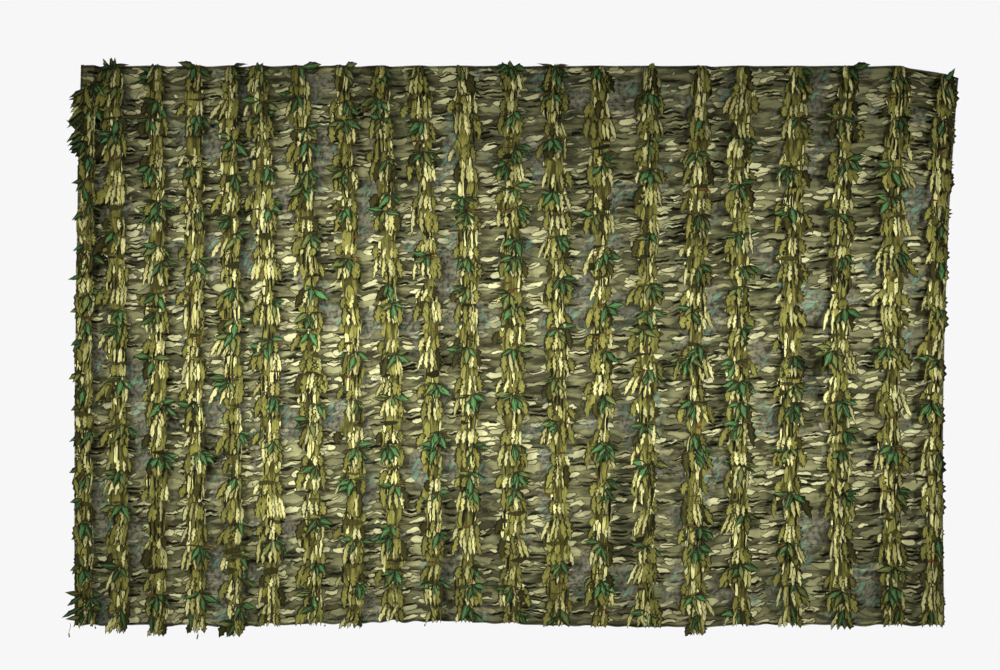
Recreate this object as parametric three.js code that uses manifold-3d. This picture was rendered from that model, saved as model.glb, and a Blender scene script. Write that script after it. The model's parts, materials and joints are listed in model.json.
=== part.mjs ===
// Leafy camouflage blind cover, hanging by its top edge.
// A hemmed panel of printed mesh hangs in uneven upright folds. Die-cut leaf strips are sewn
// down it in rows, one on the crest of each fold, with their cut edges and leaves left free.
// Millimetres, +Z up, leafy face towards -Y, origin at the middle of the top edge.
import * as THREE from "three";
import Module from "manifold-3d";

const wasm = await Module();
wasm.setup();

// Panel sizes
const PANEL_DROP = 1367; // from the top edge down to the hem
const PANEL_THICKNESS = 1.2;
const SEAM_PITCH = 116; // cloth from one strip's seam to the next, laid flat
const LEAST_SLACK = 1.015; // cloth in a gap, against the gap, where the panel hangs nearly flat
const EDGE_CURL = 4; // how far the side edges turn back
const LEFT_EDGE = { top: -1051, middle: -1065, foot: -1067, hem: 0 };
const RIGHT_EDGE = { top: 1095, middle: 1061, foot: 1060, hem: 0 };

// The top right corner hangs past the last point that is held, and droops.
const DROOP_FROM = 995;
const DROOP_SLOPE = 0.3;

// Folds: right of each strip the cloth drops from a brink into a valley, and rises slowly again.
const BRINK_AT = 0.04; // share of the gap
const VALLEY_AT = 0.23;
const VALLEY_SAG = 5; // how much lower the hem is in a valley
const BEND = 6.3; // cloth that a fold of this form takes up, against its depth
const PANEL_ROWS = 6;
const GAP_STATIONS = [0.04, 0.1, 0.17, 0.23, 0.48, 0.76, 1]; // shares of the gap where the panel bends

// Strip sizes
const STRIP_THICKNESS = 1.2;
const STRIP_CLEARANCE = 0.3; // between a strip's back and the panel's face, at the seam
const STRIP_SECTIONS = 25;
const LOBE_HALF_WIDTH = 38;
const NOTCH_HALF_WIDTH = 25;
const TAIL_HALF_WIDTH = 11;
const LOBE_LIFT = 8; // how far a lobe's edge stands forward of the seam
const NOTCH_LIFT = 3;
const LOBE_DROOP = 16; // how far a lobe's tip hangs below its root
const ROOM_SHARE = 0.46; // most of a gap that the strip on one side of it takes up
const LEFT_OVERHANG = 22; // how far leaves may reach past the panel's side edges
const RIGHT_OVERHANG = 3;
const WIDTH_SPREAD = 0.15; // how far lobes and notches differ, as a share
const LIFT_SPREAD = 0.5;

// A deep fold narrows a strip's right side at the brink, and lets its left side spread.
const WRAP_FROM = 10; // depth of fold
const WRAP_TO = 30;
const WRAP_NARROWING = 0.58;
const WRAP_WIDENING = 0.15;

// Leaf sizes
const LEAVES_PER_STRIP = 8;
const LEAF_THICKNESS = 1;
const LEAF_LENGTH = 66;
const LEAF_ROOT_OFFSET = 8; // from the seam
const LEAF_ROOT_WIDTH = 6;
const LEAF_BELLY_WIDTH = 26;
const LEAF_TIP_WIDTH = 2.5;
const LEAF_REACH = 40; // from the seam out to the tip
const LEAF_STAND = 20; // how far the tip stands forward of the root
const LEAF_BULGE = 5; // how far the belly bows forward
const BELLY_AT = 0.45; // share of the leaf's length
const FIRST_LEAF_AT = 0.6; // share of the space between two leaves
const LEAF_DRIFT = 0.3;
const LEAF_SIZE_SPREAD = 0.2; // how far leaves differ, as a share
const LEAF_STAND_SPREAD = 0.5;

// One row for each strip, from left to right.
// top, middle and foot: how far the seam is to the right of the centre line at those heights.
// hem: how far the hem is raised below the strip. head, tail: how far the strip runs past the edges,
// or ends short of them below 0.
const STRIPS = [
  { top: -1023, middle: -1034, foot: -1032, hem: 0, head: -45, tail: 6 },
  { top: -969, middle: -956, foot: -946, hem: 0, head: 20, tail: 20 },
  { top: -865, middle: -858, foot: -858, hem: 0, head: 5, tail: 28 },
  { top: -767, middle: -767, foot: -762, hem: 0, head: 4, tail: 22 },
  { top: -679, middle: -674, foot: -664, hem: -4, head: 2, tail: 24 },
  { top: -613, middle: -588, foot: -583, hem: 2, head: 9, tail: 8 },
  { top: -517, middle: -485, foot: -481, hem: 4, head: 2, tail: 8 },
  { top: -409, middle: -383, foot: -378, hem: 4, head: 2, tail: 12 },
  { top: -316, middle: -289, foot: -287, hem: 9, head: 2, tail: 7 },
  { top: -226, middle: -189, foot: -182, hem: 9, head: 2, tail: 6 },
  { top: -116, middle: -99, foot: -107, hem: 9, head: 2, tail: 5 },
  { top: 2, middle: 7, foot: 2, hem: 4, head: 13, tail: 4 },
  { top: 107, middle: 115, foot: 117, hem: -1, head: 5, tail: 4 },
  { top: 215, middle: 227, foot: 225, hem: -3, head: 2, tail: 4 },
  { top: 341, middle: 338, foot: 333, hem: -5, head: 8, tail: 4 },
  { top: 470, middle: 453, foot: 453, hem: -5, head: 2, tail: 20 },
  { top: 568, middle: 561, foot: 566, hem: 0, head: 3, tail: 6 },
  { top: 701, middle: 686, foot: 686, hem: 2, head: 3, tail: 12 },
  { top: 826, middle: 806, foot: 811, hem: 0, head: 2, tail: 13 },
  { top: 951, middle: 931, foot: 943, hem: 0, head: 2, tail: 6 },
  { top: 1063, middle: 1044, foot: 1039, hem: 0, head: 0, tail: 6 },
];

const meshPrint = new THREE.MeshStandardMaterial({ color: 0x6a6049, roughness: 0.95, metalness: 0 });
const leafPrint = new THREE.MeshStandardMaterial({ color: 0x7c7437, roughness: 0.9, metalness: 0 });

const mix = (a, b, share) => a + (b - a) * share;

// A fixed value from -1 to 1 for each pair of counts, which makes like pieces differ.
function uneven(a, b) {
  const spread = Math.sin(a * 12.9898 + b * 78.233) * 43758.5453;
  return 2 * (spread - Math.floor(spread)) - 1;
}

// How far across a strip or an edge is, at a share of the drop. It passes through its three places.
function acrossAt(place, share) {
  const bow = place.middle - (place.top + place.foot) / 2;
  return mix(place.top, place.foot, share) + 4 * bow * share * (1 - share);
}

// How deep the cloth lies across a gap, from 0 at either strip to 1 in the valley.
function valley(share) {
  const drop = Math.max(0, (share - BRINK_AT) / (VALLEY_AT - BRINK_AT));
  const climb = share < VALLEY_AT ? drop : (1 - share) / (1 - VALLEY_AT);
  return (1 - Math.cos(Math.PI * climb)) / 2;
}

const gapAt = (i, share) => acrossAt(STRIPS[i + 1], share) - acrossAt(STRIPS[i], share);

// How deep the fold right of a strip is: it takes up the cloth that the gap leaves over.
function foldDepth(i, share) {
  const widest = Math.max(gapAt(i, 0), gapAt(i, 0.5), gapAt(i, 1));
  const cloth = Math.max(SEAM_PITCH, widest * LEAST_SLACK);
  const gap = gapAt(i, share);
  return Math.sqrt((2 * gap * (cloth - gap)) / BEND);
}

// How far a strip's crest stands forward, so that the folds beside it lie about the middle plane.
function crestAt(i, share) {
  const beside = [i - 1, i].filter((gap) => gap >= 0 && gap < STRIPS.length - 1);
  const depths = beside.map((gap) => foldDepth(gap, share));
  return -depths.reduce((sum, depth) => sum + depth, 0) / depths.length / 2;
}

function heightAt(x, hem, share) {
  const droop = -Math.max(0, x - DROOP_FROM) * DROOP_SLOPE;
  return (hem - PANEL_DROP) * share + droop * (1 - share) ** 2;
}

function seamPoint(i, share) {
  const x = acrossAt(STRIPS[i], share);
  return new THREE.Vector3(x, crestAt(i, share), heightAt(x, STRIPS[i].hem, share));
}

// The seam again, on the straight stretches between the panel's rows, so that a strip follows the panel.
function seamOnPanel(i, share) {
  const row = Math.min(PANEL_ROWS - 1, Math.max(0, Math.floor(share * PANEL_ROWS)));
  const from = seamPoint(i, row / PANEL_ROWS);
  const to = seamPoint(i, (row + 1) / PANEL_ROWS);
  return from.lerp(to, share * PANEL_ROWS - row);
}

// A closed sheet of the given thickness about a grid of points. Rows run down and columns to the
// right, so the face is towards -Y.
function sheet(grid, thickness) {
  const rows = grid.length;
  const columns = grid[0].length;
  const positions = [];
  const half = thickness / 2;
  for (const side of [half, -half]) {
    for (let r = 0; r < rows; r++) {
      for (let c = 0; c < columns; c++) {
        const down = grid[Math.min(r + 1, rows - 1)][c].clone().sub(grid[Math.max(r - 1, 0)][c]);
        const right = grid[r][Math.min(c + 1, columns - 1)].clone().sub(grid[r][Math.max(c - 1, 0)]);
        const out = down.cross(right).normalize();
        positions.push(...grid[r][c].clone().addScaledVector(out, side));
      }
    }
  }
  const face = (r, c) => r * columns + c;
  const behind = rows * columns;
  const triangles = [];
  for (let r = 0; r < rows - 1; r++) {
    for (let c = 0; c < columns - 1; c++) {
      const corners = [face(r, c), face(r + 1, c), face(r + 1, c + 1), face(r, c + 1)];
      const [a, b, d, e] = corners;
      triangles.push(a, b, d, a, d, e);
      triangles.push(a + behind, d + behind, b + behind, a + behind, e + behind, d + behind);
    }
  }
  const rim = [];
  for (let c = 0; c < columns - 1; c++) rim.push(face(0, c));
  for (let r = 0; r < rows - 1; r++) rim.push(face(r, columns - 1));
  for (let c = columns - 1; c > 0; c--) rim.push(face(rows - 1, c));
  for (let r = rows - 1; r > 0; r--) rim.push(face(r, 0));
  rim.forEach((p, n) => {
    const q = rim[(n + 1) % rim.length];
    triangles.push(p, q, q + behind, p, q + behind, p + behind);
  });
  const geometry = new THREE.BufferGeometry();
  geometry.setAttribute("position", new THREE.Float32BufferAttribute(positions, 3));
  geometry.setIndex(triangles);
  return geometry;
}

function toSolid(geometry) {
  return new wasm.Manifold(
    new wasm.Mesh({
      numProp: 3,
      vertProperties: new Float32Array(geometry.attributes.position.array),
      triVerts: new Uint32Array(geometry.index.array),
    }),
  );
}

function toGeometry(solid) {
  const mesh = solid.getMesh();
  const geometry = new THREE.BufferGeometry();
  geometry.setAttribute("position", new THREE.Float32BufferAttribute(mesh.vertProperties, 3));
  geometry.setIndex(new THREE.BufferAttribute(mesh.triVerts, 1));
  return geometry;
}

// Panel: one row of points right across the cover, at a share of the drop.
function panelRow(share) {
  const sideEdge = (edge, strip) => {
    const x = acrossAt(edge, share);
    return new THREE.Vector3(x, crestAt(strip, share) + EDGE_CURL, heightAt(x, edge.hem, share));
  };
  const last = STRIPS.length - 1;
  const row = [sideEdge(LEFT_EDGE, 0), seamPoint(0, share)];
  for (let i = 0; i < last; i++) {
    const from = seamPoint(i, share);
    const to = seamPoint(i + 1, share);
    const depth = foldDepth(i, share);
    for (const along of GAP_STATIONS) {
      const point = from.clone().lerp(to, along);
      point.y += depth * valley(along);
      point.z -= VALLEY_SAG * valley(along) * share;
      row.push(point);
    }
  }
  row.push(sideEdge(RIGHT_EDGE, last));
  return row;
}

function panelGeometry() {
  const grid = [];
  for (let r = 0; r <= PANEL_ROWS; r++) grid.push(panelRow(r / PANEL_ROWS));
  return sheet(grid, PANEL_THICKNESS);
}

// How far a strip may reach to one side: its share of the gap, or just past the panel's edge.
function roomBeside(i, side, share) {
  const seam = acrossAt(STRIPS[i], share);
  if (side < 0 && i === 0) return seam - acrossAt(LEFT_EDGE, share) + LEFT_OVERHANG;
  if (side > 0 && i === STRIPS.length - 1) return acrossAt(RIGHT_EDGE, share) - seam + RIGHT_OVERHANG;
  return ROOM_SHARE * gapAt(side < 0 ? i - 1 : i, share);
}

// How far the fold right of a strip narrows its right side, from 0 to 1.
function wrapAt(i, share) {
  if (i === STRIPS.length - 1) return 0;
  return THREE.MathUtils.clamp((foldDepth(i, share) - WRAP_FROM) / (WRAP_TO - WRAP_FROM), 0, 1);
}

// How far a strip reaches to one side, from its reach on flat cloth.
function reachAt(i, side, share, flatReach) {
  const change = side > 0 ? -WRAP_NARROWING : WRAP_WIDENING;
  const reach = flatReach * (1 + change * wrapAt(i, share));
  return Math.min(reach, roomBeside(i, side, share));
}

const SEAM_STAND = (PANEL_THICKNESS + STRIP_THICKNESS) / 2 + STRIP_CLEARANCE;

// A section of a strip: its left edge, seam and right edge. Lobes come left and right by turns.
function stripSection(i, n) {
  const { head, tail } = STRIPS[i];
  const top = seamPoint(i, 0).z + head;
  const foot = seamPoint(i, 1).z - tail;
  const z = mix(top, foot, n / (STRIP_SECTIONS - 1));
  const share = THREE.MathUtils.clamp((z - (top - head)) / (foot + tail - (top - head)), 0, 1);
  const seam = seamOnPanel(i, share);
  seam.y -= SEAM_STAND;
  seam.z = z;
  const atEnd = n === 0 || n === STRIP_SECTIONS - 1;
  const edge = (side) => {
    const lobed = (n + (side < 0 ? 0 : 1)) % 2 === 0;
    const plain = atEnd ? TAIL_HALF_WIDTH : lobed ? LOBE_HALF_WIDTH : NOTCH_HALF_WIDTH;
    const width = plain * (1 + WIDTH_SPREAD * uneven(i + 1, n * side));
    const lift = (lobed ? LOBE_LIFT : NOTCH_LIFT) * (1 + LIFT_SPREAD * uneven(n * side, i + 1));
    const droop = lobed && !atEnd ? LOBE_DROOP : 0;
    const out = side * reachAt(i, side, share, width);
    return seam.clone().add(new THREE.Vector3(out, -lift, -droop));
  };
  return { share, points: [edge(-1), seam, edge(1)] };
}

// A leaf rooted on a strip. It hangs outwards and down, and its tip stands forward.
function leafGrid(i, n, sections) {
  const side = n % 2 ? 1 : -1;
  const place = (n + FIRST_LEAF_AT + LEAF_DRIFT * uneven(n, i + 1)) / (LEAVES_PER_STRIP + FIRST_LEAF_AT);
  const { share, points } = sections[Math.round(place * (STRIP_SECTIONS - 1))];
  const seam = points[1];
  const edge = points[side < 0 ? 0 : 2];
  const root = seam.clone().lerp(edge, LEAF_ROOT_OFFSET / Math.abs(edge.x - seam.x));
  const length = LEAF_LENGTH * (1 + LEAF_SIZE_SPREAD * uneven(i + 3, n));
  const flatReach = LEAF_REACH * (1 + LEAF_SIZE_SPREAD * uneven(n, i + 5));
  const reach = reachAt(i, side, share, flatReach);
  const outwards = reach - LEAF_ROOT_OFFSET;
  const stand = LEAF_STAND * (1 + LEAF_STAND_SPREAD * uneven(i + 7, n));
  const drop = Math.sqrt(length ** 2 - outwards ** 2);
  const tip = root.clone().add(new THREE.Vector3(side * outwards, -stand, -drop));
  const belly = root.clone().lerp(tip, BELLY_AT).add(new THREE.Vector3(0, -LEAF_BULGE, 0));
  const slope = (edge.y - seam.y) / (edge.x - seam.x);
  const across = new THREE.Vector3(drop, slope * drop, side * outwards).normalize();
  const row = (centre, width) =>
    [-width / 2, width / 2].map((offset) => centre.clone().addScaledVector(across, offset));
  return [row(root, LEAF_ROOT_WIDTH), row(belly, LEAF_BELLY_WIDTH), row(tip, LEAF_TIP_WIDTH)];
}

function stripGeometry(i) {
  const sections = [];
  for (let n = 0; n < STRIP_SECTIONS; n++) sections.push(stripSection(i, n));
  let strip = toSolid(sheet(sections.map((section) => section.points), STRIP_THICKNESS));
  for (let n = 0; n < LEAVES_PER_STRIP; n++) {
    strip = strip.add(toSolid(sheet(leafGrid(i, n, sections), LEAF_THICKNESS)));
  }
  return toGeometry(strip);
}

function named(name, geometry, material) {
  const mesh = new THREE.Mesh(geometry, material);
  mesh.name = name;
  return mesh;
}

const cover = new THREE.Group();
cover.add(named("mesh_panel", panelGeometry(), meshPrint));
STRIPS.forEach((_, i) => {
  const number = String(i + 1).padStart(2, "0");
  cover.add(named(`leaf_strip_${number}`, stripGeometry(i), leafPrint));
});

export default cover;
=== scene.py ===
"""Looks of the leafy blind cover: a printed mesh panel hung in folds, with leaf strips sewn down it."""
import json
import math
from typing import NamedTuple

import bpy
import numpy as np
from bpy.props import FloatProperty, FloatVectorProperty, PointerProperty
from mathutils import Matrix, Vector

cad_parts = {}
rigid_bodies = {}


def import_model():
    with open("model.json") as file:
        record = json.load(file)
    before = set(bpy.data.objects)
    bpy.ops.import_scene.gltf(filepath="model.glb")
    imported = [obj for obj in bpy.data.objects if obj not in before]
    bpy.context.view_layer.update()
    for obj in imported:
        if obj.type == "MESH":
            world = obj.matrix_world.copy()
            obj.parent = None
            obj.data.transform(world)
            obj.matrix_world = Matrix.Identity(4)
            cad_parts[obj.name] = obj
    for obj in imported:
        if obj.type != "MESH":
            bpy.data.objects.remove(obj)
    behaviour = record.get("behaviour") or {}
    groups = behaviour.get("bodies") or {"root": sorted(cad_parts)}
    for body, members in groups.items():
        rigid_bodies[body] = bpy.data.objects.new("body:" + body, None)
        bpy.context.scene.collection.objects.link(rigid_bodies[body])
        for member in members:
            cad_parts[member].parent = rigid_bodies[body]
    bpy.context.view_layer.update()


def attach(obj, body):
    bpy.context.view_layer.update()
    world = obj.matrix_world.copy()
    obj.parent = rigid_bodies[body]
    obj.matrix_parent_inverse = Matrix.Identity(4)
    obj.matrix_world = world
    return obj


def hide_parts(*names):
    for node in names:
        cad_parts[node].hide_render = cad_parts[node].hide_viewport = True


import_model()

bl_info = {
    "name": "Leafy Blind Cover",
    "version": (1, 0, 0),
    "blender": (4, 5, 0),
    "location": "3D View > Sidebar > Blind Cover",
    "description": "Builds a hanging cover of printed mesh with leaf strips, and a stage for it",
    "category": "Object",
}

MM = 0.001
SEED = 7


def display(red, green, blue):
    """Linear colour from display values of 0 to 255."""
    shares = (value / 255 for value in (red, green, blue))
    return tuple(s / 12.92 if s <= 0.04045 else ((s + 0.055) / 1.055) ** 2.4 for s in shares)


# Shape of the hanging cloth, as in the solids, in metres

PANEL_DROP = 1367 * MM
SEAM_PITCH = 116 * MM
LEAST_SLACK = 1.015
EDGE_CURL = 4 * MM
DROOP_FROM = 995 * MM
DROOP_SLOPE = 0.3
BRINK_AT = 0.04
VALLEY_AT = 0.23
VALLEY_SAG = 5 * MM
BEND = 6.3
WRAP_FROM = 10 * MM
WRAP_TO = 30 * MM
WRAP_NARROWING = 0.58
WRAP_WIDENING = 0.15
STRIP_SECTIONS = 25
LOBE_HALF_WIDTH = 38 * MM
NOTCH_HALF_WIDTH = 25 * MM
TAIL_HALF_WIDTH = 11 * MM
LOBE_LIFT = 8 * MM
NOTCH_LIFT = 3 * MM
LIFT_CURVE = 1.7
LOBE_DROOP = 16 * MM
LOBE_TIP_AT = 0.7
ROOM_SHARE = 0.46
LEFT_OVERHANG = 30 * MM
RIGHT_OVERHANG = -6 * MM


class Place(NamedTuple):
    """A line down the cloth: how far right of the centre line it is, and how far its hem is raised.

    head and tail are how far a strip on it runs past the panel's edges, or stops short of them if below 0.
    """

    top: float
    middle: float
    foot: float
    hem: float = 0
    head: float = 0
    tail: float = 0


def place(*sizes):
    return Place(*(size * MM for size in sizes))


LEFT_EDGE = place(-1051, -1065, -1067)
RIGHT_EDGE = place(1095, 1061, 1060)
STRIPS = (
    place(-1023, -1034, -1032, 0, -45, 6),
    place(-969, -956, -946, 0, 20, 20),
    place(-865, -858, -858, 0, 5, 28),
    place(-767, -767, -762, 0, 4, 22),
    place(-679, -674, -664, -4, 2, 24),
    place(-613, -588, -583, 2, 9, 8),
    place(-517, -485, -481, 4, 2, 8),
    place(-409, -383, -378, 4, 2, 12),
    place(-316, -289, -287, 9, 2, 7),
    place(-226, -189, -182, 9, 2, 6),
    place(-116, -99, -107, 9, 2, 5),
    place(2, 7, 2, 4, 13, 4),
    place(107, 115, 117, -1, 5, 4),
    place(215, 227, 225, -3, 2, 4),
    place(341, 338, 333, -5, 8, 4),
    place(470, 453, 453, -5, 2, 20),
    place(568, 561, 566, 0, 3, 6),
    place(701, 686, 686, 2, 3, 12),
    place(826, 806, 811, 0, 2, 13),
    place(951, 931, 943, 0, 2, 6),
    place(1063, 1044, 1039, 0, 0, 6),
)
LAST = len(STRIPS) - 1


class Crease(NamedTuple):
    """A soft trough in the panel, from one point on its face to another."""

    from_x: float
    from_z: float
    to_x: float
    to_z: float
    depth: float
    breadth: float


CREASES = tuple(
    Crease(*(size * MM for size in row))
    for row in (
        (962, -8, 1078, -95, 9, 16),
        (958, -12, 1010, -230, 7, 20),
        (600, -20, 655, -330, 5, 22),
        (745, -60, 770, -420, 5, 24),
        (255, -40, 290, -260, 5, 20),
        (520, -760, 500, -1300, 5, 26),
        (985, -420, 1000, -1080, 6, 24),
        (-905, -860, -915, -1340, 6, 18),
        (60, -880, 50, -1330, 5, 24),
    )
)
CREASE_ENDS = (0.1, 0.9)

# Grid of the panel and of a strip's ribbon

# Rows at the hems, in hem widths from the edge
HEM_ROWS = (0, 0.25, 0.8, 1, 1.15)
PANEL_ROWS = 112
GAP_STEPS = 16
MARGIN_STEPS = 6
RIBBON_ROWS = 260
RIBBON_COLUMNS = np.array([-1, -0.86, -0.6, -0.3, 0, 0.3, 0.6, 0.86, 1])
RIBBON_BACK = 0.9 * MM
RIBBON_SHARE = 0.78
RIBBON_TOP_INSET = 1 * MM
RIBBON_FOOT_INSET = 3 * MM
TURN_STEP = 0.15

# Unevenness of the hanging cloth


class Waves(NamedTuple):
    """Waves that make cloth uneven: their seed and number, their lengths in metres, and how they slant."""

    seed: int
    count: int
    shortest: float
    longest: float
    slant: float = 0


SWAY = 2.5 * MM
SWAY_WAVES = Waves(1, 7, 0.22, 0.6, 0.5)
RIPPLE = 1.1 * MM
RIPPLE_WAVES = Waves(2, 14, 0.035, 0.09, 0.35)
PUCKER = 0.9 * MM
PUCKER_REACH = 16 * MM
PUCKER_STRETCH = 0.5
PUCKER_WAVES = Waves(3, 9, 0.012, 0.03, 1.4)
HEM_WAVE = 2.5 * MM
HEM_WAVE_FALL = 12
HEM_WAVES = Waves(4, 8, 0.05, 0.2)
CUT_SPREAD = 0.2
CUT_WAVES = Waves(100, 9, 0.014, 0.06)
LIFT_SPREAD = 0.4
LIFT_WAVES = Waves(200, 6, 0.06, 0.2)
FOLD_SPREAD = 0.2
FOLD_WAVES = Waves(300, 3, 0.3, 0.7)
SWELL_SPREAD = 0.36
SWELL_WAVES = Waves(400, 4, 0.08, 0.16)


def size_of(name, description, millimetres):
    return FloatProperty(name=name, description=description, default=millimetres * MM, unit="LENGTH")


class CoverSizes(bpy.types.PropertyGroup):
    """Sizes of the cloth, leaves and thread."""

    panel_thickness: size_of("Panel thickness", "Thickness of the mesh cloth", 0.7)
    hem_width: size_of("Hem width", "Width of the panel's turned hem", 18)
    hem_thickness: size_of("Hem thickness", "Thickness of the panel at its hem", 1.8)
    ribbon_thickness: size_of("Ribbon thickness", "Thickness of the leaf cloth", 0.5)
    leaf_length: size_of("Leaf length", "Length of a leaf in a cluster", 52)
    leaf_width: size_of("Leaf width", "Width of a leaf in a cluster", 19)
    stitch_pitch: size_of("Stitch pitch", "From one stitch to the next", 6)
    overlock_pitch: size_of("Overlock pitch", "From one edge loop to the next", 2.6)


def colour(name, description, *levels):
    shade = display(*levels)
    return FloatVectorProperty(
        name=name, description=description, subtype="COLOR", size=3, min=0, max=1, default=shade
    )


class CoverColours(bpy.types.PropertyGroup):
    """Colours of the two prints and of the thread."""

    mesh_dark: colour("Mesh dark", "Shaded ground of the mesh print", 62, 61, 40)
    mesh_taupe: colour("Mesh taupe", "Ground of the mesh print", 114, 113, 78)
    mesh_tan: colour("Mesh tan", "Broad strokes of the mesh print", 153, 152, 107)
    mesh_cream: colour("Mesh cream", "Light strokes of the mesh print", 195, 192, 144)
    mesh_smoke: colour("Mesh smoke", "Hazy patches of the mesh print", 116, 114, 100)
    mesh_teal: colour("Mesh teal", "Faint leaves of the mesh print", 96, 130, 110)
    # Outline is also the colour of painted shade: at the roots of leaves and flaps, in part of the dark rim
    # of their cut edges, and on the shadow stalk behind each leaf fan
    outline: colour("Outline", "Dark lines of both prints", 22, 22, 10)
    bark: colour("Brown", "Shaded ground of the strip print", 58, 55, 22)
    olive: colour("Olive", "Ground of the strip print", 118, 115, 55)
    straw: colour("Straw", "Middle strokes of the strip print", 172, 167, 102)
    cream: colour("Cream", "Light strokes of the strip print", 193, 189, 128)
    green: colour("Green", "Bright leaves", 54, 104, 60)
    deep_green: colour("Deep green", "Dark leaves", 32, 68, 38)
    dull_green: colour("Dull green", "Faded leaves", 94, 102, 52)
    vein: colour("Vein", "Ribs of the leaves", 118, 134, 74)
    russet: colour("Russet", "Reddish strokes of the strip print", 96, 48, 26)
    thread: colour("Thread", "Seam, hem and edge thread", 34, 33, 20)


# Shape functions


def mix(low, high, share):
    return low + (high - low) * share


def across_at(line, share):
    """How far across a line is at a share of the drop. It passes through its three places."""
    bow = line.middle - (line.top + line.foot) / 2
    return mix(line.top, line.foot, share) + 4 * bow * share * (1 - share)


def valley(share):
    """How deep the cloth lies across a gap: it drops from a brink to 1, and rises slowly again."""
    drop = np.clip((share - BRINK_AT) / (VALLEY_AT - BRINK_AT), 0, 1)
    climb = np.where(share < VALLEY_AT, drop, (1 - share) / (1 - VALLEY_AT))
    return (1 - np.cos(np.pi * climb)) / 2


def gap_at(gap, share):
    return across_at(STRIPS[gap + 1], share) - across_at(STRIPS[gap], share)


def cloth_in(gap):
    """Width of cloth in a gap, laid flat."""
    widest = max(gap_at(gap, share) for share in (0, 0.5, 1))
    return max(SEAM_PITCH, widest * LEAST_SLACK)


def fold_depth(gap, share):
    width = gap_at(gap, share)
    return np.sqrt(2 * width * (cloth_in(gap) - width) / BEND)


def crest_at(strip, share):
    """Where a strip's crest is, so that the folds beside it lie about the middle plane."""
    beside = [gap for gap in (strip - 1, strip) if 0 <= gap < LAST]
    return -sum(fold_depth(gap, share) for gap in beside) / len(beside) / 2


def height_at(across, hem, share):
    droop = np.maximum(0, across - DROOP_FROM) * DROOP_SLOPE
    return (hem - PANEL_DROP) * share - droop * (1 - share) ** 2


def wrap_at(strip, share):
    """How far the fold right of a strip draws the strip round its crest, from 0 to 1."""
    if strip == LAST:
        return np.zeros_like(share)
    return np.clip((fold_depth(strip, share) - WRAP_FROM) / (WRAP_TO - WRAP_FROM), 0, 1)


def uneven_field(waves, number=0):
    """A soft field over the cloth, between about -1 and 1, another one for each number."""
    rng = np.random.default_rng(SEED + waves.seed + number)
    lengths = rng.uniform(waves.shortest, waves.longest, waves.count)
    turns = rng.normal(0, waves.slant, waves.count)
    phases = rng.uniform(0, 2 * np.pi, waves.count)

    def field(across, down=0):
        total = 0
        for length, turn, phase in zip(lengths, turns, phases):
            along = across * np.cos(turn) + down * np.sin(turn)
            total = total + np.sin(2 * np.pi * along / length + phase)
        return total / math.sqrt(2 * waves.count)

    return field


def trough(crease, x, z):
    """How deep a crease is at points of the panel's face."""
    run = np.array((crease.to_x - crease.from_x, crease.to_z - crease.from_z))
    along = ((x - crease.from_x) * run[0] + (z - crease.from_z) * run[1]) / np.hypot(*run) ** 2
    nearest = np.clip(along, 0, 1)
    away = np.hypot(x - crease.from_x - nearest * run[0], z - crease.from_z - nearest * run[1])
    depth = crease.depth * np.sin(np.pi * np.clip(nearest, *CREASE_ENDS))
    return depth * np.exp(-((away / crease.breadth) ** 2))


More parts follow.
